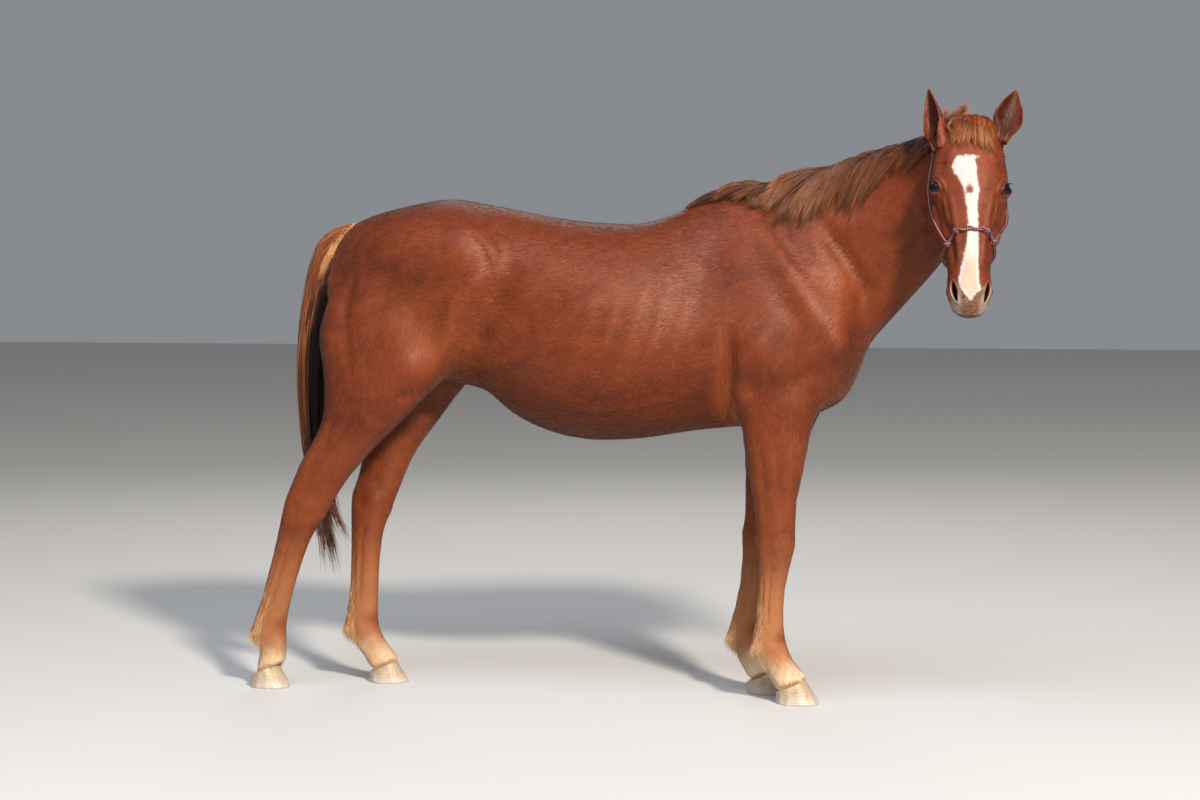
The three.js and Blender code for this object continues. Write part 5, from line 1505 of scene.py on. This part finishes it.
# Thin wisps part from the lower tail and hang between the hind legs.
for k in range(tail["wisps"]):
    startX, endX = -0.885 + dice.uniform(-0.02, 0.03), -0.83 + dice.uniform(-0.03, 0.07)
    top, bottom = dice.uniform(0.62, 0.80), dice.uniform(0.33, 0.47)
    aside = dice.uniform(-0.03, 0.03)
    guides.append([origin + (startX + (endX - startX) * t ** 1.3 + 0.008 * math.sin(6 * t + k), aside, top + (bottom - top) * t)
                   for t in np.linspace(0, 1, tail["steps"])])
    ups.append([np.array([-0.3, -0.95, 0.0])] * tail["steps"])
    shades.append(np.linspace(0.8, dice.uniform(0.2, 0.8), tail["steps"]))
tailMesh = combed("tail", guides, ups, shades, tail["perLock"], 16 * mm, 8 * mm, 3 * mm, tail["width"], rings=9,
                  wave=7 * mm, shortest=0.5)
newObject("tail_locks", tailMesh, hairMaterial("long_tail_hair_pale_over_dark", hairLook["tail"]), ["tail"], "tail_hair")

# Short pale hair covers the sides of the dock.
guides, ups, shades = [], [], []
for k in range(56):
    side = -1 if k % 2 else 1
    q, out = dice.random(), dice.random()
    startX, startZ = -0.742 - 0.085 * q, 1.462 - 0.085 * q - 0.012 * out
    endX, endZ = startX - dice.uniform(0.050, 0.080), startZ - dice.uniform(0.09, 0.16)
    guides.append([origin + (startX + (endX - startX) * t ** 0.8, side * (0.028 + 0.016 * out + 0.012 * t - 0.026 * t * t),
                             startZ + (endZ - startZ) * t ** 1.15) for t in np.linspace(0, 1, 8)])
    ups.append([np.array([-0.3, 0.95 * side, 0.1])] * 8)
    shades.append(np.zeros(8))
dockMesh = combed("dock", guides, ups, shades, 16, 13 * mm, 6 * mm, 4 * mm, 1.8 * mm, rings=5, wave=2 * mm)
newObject("dock_hair", dockMesh, hairMaterial("pale_hair_of_the_dock", hairLook["dock"]), ["tail"], "tail_hair")


# Longer hair in one place: behind the fetlocks and cannons, in the ears and over the hoof heads.
def fringe(name, wanted, perMetre, long, width, out, lieBias, material, curl=0.0, thick=2 * mm):
    density = perMetre * wanted
    chosen, weights = sample.scatter(density)
    root = sample.at(points, chosen, weights)
    normal = unit(sample.at(normals, chosen, weights))
    lie = sample.at(lay, chosen, weights)
    lengths = long * dice.uniform(0.6, 1.15, len(root))
    rings = 5
    path = []
    for t in np.linspace(0, 1, rings):
        way = unit(lie * (1 - curl * t) + normal * out * (1 - 0.6 * t) + np.array(lieBias))
        path.append(root - normal * 0.4 * mm if t == 0 else path[-1] + way * (lengths / (rings - 1))[:, None])
    paths = np.stack(path, 1)
    jitter = dice.normal(0, 1, (len(root), 1, 3)) * (np.linspace(0, 1, rings)[None, :, None] ** 1.5) * lengths[:, None, None]
    paths += jitter * 0.08
    breadth = width * np.interp(np.linspace(0, 1, rings), (0, 0.3, 1), (0.8, 1, 0.1))[None] * np.ones((len(root), 1))
    mesh, perStrand = hairMesh(name, paths, breadth, normal, sample.uvAt(chosen, weights))
    strandFloats(mesh, "tint", np.clip(dice.normal(0.5, 0.2, len(root)), 0, 1), perStrand)
    strandFloats(mesh, "shade", np.zeros(len(root)), perStrand)
    steps = np.linspace(0, 1, rings)
    setFloats(mesh, "along", np.tile(np.concatenate([np.repeat(steps[:-1], 3), steps[-1:]]), len(root)))
    print(name, len(root))
    return newObject(name, mesh, material, partNames, "pale_coat")


x, y, z = bodyPoints.T
legMiddle = {}
behind = np.zeros(len(points))
for leg in legNames:
    members = np.array([name.startswith(leg) for name in partNames])[owner]
    heights = z[members]
    middleX = np.interp(heights, np.arange(0.06, 0.62, 0.02),
                        [x[members & (np.abs(z - h) < 0.015)].mean() for h in np.arange(0.06, 0.62, 0.02)])
    behind[members] = smoothStep(0.2, 0.7, (middleX - x[members]) / 0.035)
lowLegs = z < 0.62
paleHair = hairMaterial("pale_feather_hair", hairLook["feather"])
tanHair = hairMaterial("tan_hair_behind_cannons", hairLook["tan"])
backOfLeg = np.exp(-((z - 0.180) / 0.036) ** 2) + 0.30 * smoothStep(0.20, 0.23, z) * smoothStep(0.36, 0.27, z)
fringe("feathers_behind_fetlocks", lowLegs * behind * backOfLeg, 74000, 38 * mm, 1.3 * mm, 0.30, (0, 0, -0.9), paleHair)
fringe("hair_behind_cannons", lowLegs * behind * smoothStep(0.19, 0.24, z) * smoothStep(0.44, 0.38, z), 13000,
       18 * mm, 0.9 * mm, 0.12, (0, 0, -0.5), tanHair)
toHoof = np.full(len(points), 1.0)
for leg in legNames:
    hoofTree = facesTree(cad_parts[f"{leg}_hoof"].data)
    for index in np.where((z < 0.15) & np.array([name.startswith(leg) for name in partNames])[owner])[0]:
        toHoof[index] = hoofTree.find_nearest(Vector(points[index]))[3]
fringe("hair_over_hooves", np.exp(-((toHoof - 7 * mm) / (7 * mm)) ** 2) * (normals[:, 2] > -0.5), 260000, 24 * mm, 1.3 * mm,
       0.30, (0.05, 0, -0.8), paleHair)
isEar = owner >= partNames.index("ear_left")
earOpening = unit(headW)
facingOut = normals @ earOpening
u, v, w = headPlace(points)
inside = isEar & (facingOut > 0.2) & (u < 0.01)
# The hair in the ears is deep brown: painted shade inside the ear cups.
earHair = hairMaterial("soft_hair_in_the_ears", hairLook["ear"], gloss=0.1)
fringe("hair_in_ears", inside * smoothStep(-0.10, -0.02, u), 52000, 15 * mm, 1.0 * mm, 0.35, tuple(headV * 0), earHair)


# Lashes along the upper lids, and feelers on the muzzle.
lashPaths, lashUps = [], []
for eye in eyes.values():
    for _ in range(70):
        angle = dice.uniform(0.25, 2.9)
        radius = float(eyeOutline(np.array(angle)))
        lid = eyeShape["radius"] + eyeShape["lidGap"] + eyeShape["lid"]
        start = np.array([radius * math.cos(angle), radius * math.sin(angle), math.sqrt(lid ** 2 - radius ** 2) - 0.3 * mm])
        long = dice.uniform(10, 17) * mm
        outward = np.array([math.cos(angle) * 0.5, 0.35, 1.0])
        path = [start + unit(outward - np.array([0, 0.9 * t, 0])) * long * t for t in np.linspace(0, 1, 5)]
        lashPaths.append(np.array(path) @ eye["axes"] + eye["centre"])
        lashUps.append(eye["axes"][1])
for _ in range(90):
    v = dice.choice((-1, 1)) * dice.uniform(0.016, 0.046)
    u = dice.uniform(0.535, 0.565)
    spot, way = skinTree.find_nearest(Vector(onHead(u, v, 0.05)))[:2]
    if dice.random() < 0.45:
        spot, way = skinTree.find_nearest(Vector(onHead(dice.uniform(0.50, 0.56), v, -0.15)))[:2]
    spot, way = asArray(spot), asArray(way)
    bend = unit(dice.normal(0, 1, 3) + headU * 1.5)
    long = dice.uniform(9, 26) * mm
    lashPaths.append([spot - way * 0.3 * mm + (way * t + bend * 0.35 * t * t) * long for t in np.linspace(0, 1, 5)])
    lashUps.append(bend)
lashPaths, lashUps = np.array(lashPaths), unit(np.array(lashUps))
breadth = 0.5 * mm * np.array([1, 0.9, 0.75, 0.5, 0.1])[None] * np.ones((len(lashPaths), 1))
lashMesh, perStrand = hairMesh("lashes", lashPaths, breadth, lashUps, rootUvs(lashPaths[:, 0]))
for kind in ("tint", "shade", "along"):
    strandFloats(lashMesh, kind, np.full(len(lashPaths), 0.5), perStrand)
newObject("lashes_and_feelers", lashMesh, hairMaterial("dark_lash_hair", hairLook["lash"]), ["head"], "coat")


# ---- hooves ----

hoofLook = dict(voxel=3.5 * mm, ringGap=0.010, ringDepth=0.25 * mm, horn="#9b866c", hornPale="#bdaa8d", toe="#8a7460",
                dust="#bcb4a6")
material, tree, output = newMaterial("pale_hoof_horn_with_growth_rings")
place = addNode(tree, "TexCoord").outputs["Object"]
height = addNode(tree, "SeparateXYZ", {0: place}).outputs["Z"]
stretched = addNode(tree, "Mapping", {"Vector": place, "Scale": (1.0, 1.0, 0.12)})
streaks = addNode(tree, "TexNoise", {"Vector": stretched, "Scale": 190.0, "Detail": 3.0})
horn = addNode(tree, "Mix", {0: streaks, 6: toLinear(hoofLook["horn"]), 7: toLinear(hoofLook["hornPale"])},
               data_type="RGBA")
patches = addNode(tree, "TexNoise", {"Vector": place, "Scale": 45.0, "Detail": 3.0})
patch = addNode(tree, "MapRange", {0: patches, 1: 0.5, 2: 0.68, 3: 0.0, 4: 0.6})
stained = addNode(tree, "Mix", {0: patch, 6: horn.outputs[2], 7: toLinear(hoofLook["toe"])}, data_type="RGBA")
lowest = addNode(tree, "MapRange", {0: height, 1: 0.030, 2: 0.004, 3: 0.0, 4: 0.75})
dusty = addNode(tree, "Mix", {0: lowest, 6: stained.outputs[2], 7: toLinear(hoofLook["dust"])}, data_type="RGBA")
rings = addNode(tree, "Math", {0: addNode(tree, "Math", {0: height, 1: 2 * math.pi / hoofLook["ringGap"]},
                                          operation="MULTIPLY")}, operation="SINE")
ringBump = addNode(tree, "Bump", {"Height": rings, "Strength": 0.5, "Distance": 0.4 * mm})
fineBump = addNode(tree, "Bump", {"Height": streaks, "Strength": 0.4, "Distance": 0.6 * mm, "Normal": ringBump})
shader = addNode(tree, "BsdfPrincipled", {"Base Color": dusty.outputs[2], "Roughness": 0.5, "IOR": 1.54,
                                          "Normal": fineBump})
tree.links.new(shader.outputs[0], output.inputs[0])
for leg in legNames:
    mesh = voxelRemesh(mergedCopy([f"{leg}_hoof"], 0.3 * mm), hoofLook["voxel"])
    hoofPoints = pointsOf(mesh)
    hoofPoints = relaxed(hoofPoints, edgesOf(mesh), 0.5, 4)
    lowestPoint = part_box(f"{leg}_hoof")[0].z
    edge = lowestPoint + 1.5 * mm
    low = hoofPoints[:, 2] < edge
    hoofPoints[low, 2] = lowestPoint + np.clip(hoofPoints[low, 2] - lowestPoint, 0, None) * 0.35
    setPoints(mesh, hoofPoints)
    mesh.shade_smooth()
    newObject(f"{leg}_hoof_horn", mesh, material, [f"{leg}_hoof"], "hoof_horn")
print("hooves made")


# ---- rope halter: a braided cord with knots ----

ropeLook = dict(radius=4.3 * mm, rest=3.7 * mm, sides=10, step=2.6 * mm, carriers=4, pitch=20 * mm, braid=0.4 * mm,
                red="#611522", dark="#22070d", fleck="#e6c6c0")
headMiddle = dict(down=(-0.034, 0.034, 0.10, 0.152, 0.192, 0.25, 0.31, 0.368, 0.424),
                  back=(-0.080, -0.097, -0.111, -0.121, -0.129, -0.130, -0.118, -0.098, -0.082),
                  deep=(0.030, 0.099, 0.125, 0.134, 0.137, 0.131, 0.113, 0.088, 0.070),
                  half=(0.040, 0.089, 0.100, 0.110, 0.108, 0.101, 0.088, 0.067, 0.058))


# A place on the head: down the face line, and degrees round from it towards the left.
def roundHead(u, degrees, slack=0.0):
    a = math.radians(degrees)
    forward = math.copysign(abs(math.cos(a)) ** 0.8, math.cos(a))
    aside = math.copysign(abs(math.sin(a)) ** 0.8, math.sin(a))
    middle, deep, half = (np.interp(u, headMiddle["down"], headMiddle[key]) for key in ("back", "deep", "half"))
    spot, way = skinTree.find_nearest(Vector(onHead(u, half * aside, middle + deep * forward)))[:2]
    return asArray(spot) + asArray(way) * (ropeLook["rest"] + slack)


def overPoll(u, v, w):
    spot, way = skinTree.find_nearest(Vector(onHead(u, v, w)))[:2]
    return asArray(spot) + asArray(way) * (ropeLook["rest"] + 5 * mm)


# Evens a path out into short steps of one length.
def evenPath(path, step, soften=6):
    path = np.array(path)
    dense = []
    for k in range(len(path) - 1):
        before, after = path[max(k - 1, 0)], path[min(k + 2, len(path) - 1)]
        for t in np.linspace(0, 1, 12, endpoint=False):
            a, b, c, d = before, path[k], path[k + 1], after
            dense.append(0.5 * (2 * b + (c - a) * t + (2 * a - 5 * b + 4 * c - d) * t ** 2 + (3 * b - a - 3 * c + d) * t ** 3))
    dense = np.array(dense + [path[-1]])
    for _ in range(soften):
        dense[1:-1] = (dense[:-2] + 2 * dense[1:-1] + dense[2:]) / 4
    lengths = np.concatenate([[0], np.cumsum(np.linalg.norm(np.diff(dense, axis=0), axis=1))])
    wanted = np.linspace(0, lengths[-1], max(3, int(lengths[-1] / step)))
    return np.stack([np.interp(wanted, lengths, dense[:, k]) for k in range(3)], 1)


# One closed cord along a path, with a braid raised on it. Keeps where it is along and round for the flecks.
def cord(path, radius):
    look = ropeLook
    tangent = unit(np.gradient(path, axis=0))
    aside = np.zeros_like(path)
    aside[0] = unit(np.cross(tangent[0], (0.31, 0.52, 0.79)))
    for k in range(1, len(path)):
        aside[k] = unit(aside[k - 1] - tangent[k] * (aside[k - 1] @ tangent[k]))
    lift = np.cross(tangent, aside)
    reached = np.concatenate([[0], np.cumsum(np.linalg.norm(np.diff(path, axis=0), axis=1))])
    turns = np.arange(look["sides"]) * 2 * np.pi / look["sides"]
    angle = turns[None] + np.zeros((len(path), 1))
    along = reached[:, None] * 2 * np.pi / look["pitch"]
    braid = np.cos(look["carriers"] * (angle + along)) * np.cos(look["carriers"] * (angle - along))
    size = radius + look["braid"] * braid
    verts = path[:, None] + size[..., None] * (np.cos(angle)[..., None] * aside[:, None] + np.sin(angle)[..., None] * lift[:, None])
    count, sides = len(path), look["sides"]
    faces = [(r * sides + c, r * sides + (c + 1) % sides, (r + 1) * sides + (c + 1) % sides, (r + 1) * sides + c)
             for r in range(count - 1) for c in range(sides)]
    faces.append(tuple(range(sides - 1, -1, -1)))
    faces.append(tuple((count - 1) * sides + c for c in range(sides)))
    twist = np.stack([along + angle, along - angle, np.zeros_like(angle)], 2)
    return verts.reshape(-1, 3), faces, twist.reshape(-1, 3)


# A knot: the cord wound round itself.
def wound(centre, axis, turns, coil, length):
    axis = unit(axis)
    one = unit(np.cross(axis, (0.2, 0.9, 0.3)))
    two = np.cross(axis, one)
    t = np.linspace(0, 1, int(turns * 16))
    angle = t * turns * 2 * np.pi
    swell = 0.6 + 0.4 * np.sin(np.pi * t)
    return centre + axis * (t[:, None] - 0.5) * length + (one * np.cos(angle)[:, None] + two * np.sin(angle)[:, None]) * (coil * swell)[:, None]


def ropePiece(name, paths, nodes):
    verts, faces, twists = [], [], []
    for path in paths:
        places, sides, twist = cord(path, ropeLook["radius"])
        start = sum(len(each) for each in verts)
        verts.append(places)
        twists.append(twist)
        faces += [tuple(start + k for k in face) for face in sides]
    mesh = bpy.data.meshes.new(name)
    mesh.from_pydata(np.concatenate(verts).tolist(), [], faces)
    bm = bmesh.new()
    bm.from_mesh(mesh)
    bmesh.ops.recalc_face_normals(bm, faces=bm.faces)
    bm.to_mesh(mesh)
    bm.free()
    setVectors(mesh, "twist", np.concatenate(twists))
    mesh.shade_smooth()
    print(name, len(mesh.polygons))
    return newObject(name, mesh, ropeMaterial, nodes, "halter_rope")


ropeMaterial, tree, output = newMaterial("braided_polyester_rope")
twist = addNode(tree, "SeparateXYZ", {0: addNode(tree, "Attribute", attribute_name="twist").outputs["Vector"]})
leftHand = addNode(tree, "Math", {0: addNode(tree, "Math", {0: twist.outputs[0], 1: 2.0}, operation="MULTIPLY")}, operation="SINE")
rightHand = addNode(tree, "Math", {0: addNode(tree, "Math", {0: twist.outputs[1], 1: 2.0}, operation="MULTIPLY")}, operation="SINE")
crossing = addNode(tree, "Math", {0: leftHand, 1: rightHand}, operation="MULTIPLY")
fleck = addNode(tree, "MapRange", {0: crossing, 1: 0.66, 2: 0.80, 3: 0.0, 4: 0.9})
weave = addNode(tree, "MapRange", {0: crossing, 1: -1.0, 2: 0.4})
fibre = addNode(tree, "TexNoise", {"Vector": addNode(tree, "TexCoord").outputs["Object"], "Scale": 900.0, "Detail": 2.0})
red = addNode(tree, "Mix", {0: weave, 6: toLinear(ropeLook["dark"]), 7: toLinear(ropeLook["red"])}, data_type="RGBA")
rope = addNode(tree, "Mix", {0: fleck, 6: red.outputs[2], 7: toLinear(ropeLook["fleck"])}, data_type="RGBA")
bump = addNode(tree, "Bump", {"Height": addNode(tree, "Math", {0: crossing, 1: fibre}, operation="ADD"), "Strength": 0.5,
                              "Distance": 0.5 * mm})
shader = addNode(tree, "BsdfPrincipled", {"Base Color": rope.outputs[2], "Roughness": 0.75, "IOR": 1.5, "Normal": bump})
tree.links.new(shader.outputs[0], output.inputs[0])

noseband = [(0.346, 66), (0.335, 46), (0.330, 27), (0.330, 0), (0.334, -27), (0.344, -46), (0.360, -66)]
chin = [(0.346, 66), (0.362, 92, 0.002), (0.380, 132, 0.004), (0.388, 180, 0.004), (0.384, 228, 0.004),
        (0.374, 268, 0.002), (0.360, 294)]
cheek = dict(left=[(0.346, 66), (0.298, 80), (0.240, 94), (0.180, 98), (0.120, 95), (0.060, 90)],
             right=[(0.360, -66), (0.305, -75), (0.245, -82), (0.180, -84), (0.120, -86), (0.060, -90)])
throat = dict(left=[(0.388, 180, 0.004), (0.310, 172, 0.004), (0.240, 164, 0.002), (0.180, 150), (0.120, 130), (0.060, 90)],
              right=[(0.388, 180, 0.004), (0.310, -172, 0.004), (0.240, -164, 0.002), (0.205, -156)])
overNose = [(0.330, 27, 0.003), (0.328, 12, 0.004), (0.329, -12, 0.004), (0.334, -27, 0.003)]
crown = [(0.010, 0.104, -0.092), (-0.026, 0.064, -0.088), (-0.040, 0, -0.084), (-0.026, -0.064, -0.088),
         (0.010, -0.104, -0.092)]


def route(places):
    return evenPath([roundHead(*place) for place in places], ropeLook["step"])


bandPaths = [route(noseband), route(chin), route(throat["left"]), route(throat["right"])]
# Over the nose a second cord is wound round the first.
core = route(overNose)
swing = np.linspace(0, 2 * np.pi * 2.5, len(core))[:, None]
bandPaths.append(core + (headU * np.cos(swing) + headW * np.sin(swing)) * 3.4 * mm)
knotPlaces = [(0.330, 27), (0.334, -27), (0.346, 66), (0.360, -66), (0.388, 180, 0.004)]
for index, place in enumerate(knotPlaces):
    centre = roundHead(*place)
    towards = roundHead(place[0] + 0.004, place[1] + 8)
    turns = 3.1 if index < 2 else 3.2
    bandPaths.append(wound(centre, towards - centre, turns, 6.2 * mm, 15 * mm))
    if index >= 2:
        outward = unit(centre - onHead(place[0], 0, np.interp(place[0], headMiddle["down"], headMiddle["back"])))
        bandPaths.append(wound(centre + outward * 2.0 * mm, headU, 2.1, 7.5 * mm, 12 * mm))
ropePiece("halter_noseband_rope", bandPaths, ["halter_noseband"])
overHead = [roundHead(0.060, 90)] + [overPoll(*place) for place in crown] + [roundHead(0.060, -90)]
stallPaths = [route(cheek["left"]), route(cheek["right"]), evenPath(overHead, ropeLook["step"], 12)]
for side in (1, -1):
    centre = roundHead(0.060, side * 90)
    stallPaths.append(wound(centre, headU, 3.2, 5.2 * mm, 14 * mm))
ropePiece("halter_headstall_rope", stallPaths, ["halter_headstall"])


# ---- studio ----
def areaLight(name, place, aim, size, power, colour):
    data = bpy.data.lights.new(name, "AREA")
    data.shape = "DISK"
    data.size = size
    data.energy = power
    data.color = toLinear(colour)[:3]
    lamp = bpy.data.objects.new(name, data)
    lamp.location = place
    lamp.rotation_euler = (Vector(aim) - Vector(place)).to_track_quat("-Z", "Y").to_euler()
    bpy.context.scene.collection.objects.link(lamp)

studio = dict(keyFrom=(7.6, -11.8, 8.9), fillFrom=(-7.0, -5.0, 3.5), rimFrom=(-1.5, 6.0, 5.0), overheadFrom=(-0.6, -3.2, 6.2), aim=(0.4, 0, 1.0))
areaLight("key", studio["keyFrom"], studio["aim"], 1.8, 4300, "#fff5ea")
areaLight("fill", studio["fillFrom"], studio["aim"], 4.0, 35, "#e4edff")
areaLight("rim", studio["rimFrom"], studio["aim"], 3.0, 90, "#ffffff")
areaLight("overhead", studio["overheadFrom"], studio["aim"], 4.5, 260, "#dfe9ff")
world = bpy.data.worlds.new("studio")
world.use_nodes = True
world.node_tree.nodes["Background"].inputs[0].default_value = toLinear("#e3e8ee")
world.node_tree.nodes["Background"].inputs[1].default_value = 0.32
bpy.context.scene.world = world
bpy.context.scene.view_settings.view_transform = "Standard"

bm = bmesh.new()
bmesh.ops.create_grid(bm, x_segments=2, y_segments=2, size=30)
floorMesh = bpy.data.meshes.new("floor")
bm.to_mesh(floorMesh)
bm.free()
floorMaterial, tree, output = newMaterial("floor")
tree.links.new(addNode(tree, "BsdfPrincipled", {"Base Color": toLinear("#c4c2bd"), "Roughness": 0.9}).outputs[0], output.inputs[0])
newObject("floor", floorMesh, floorMaterial)
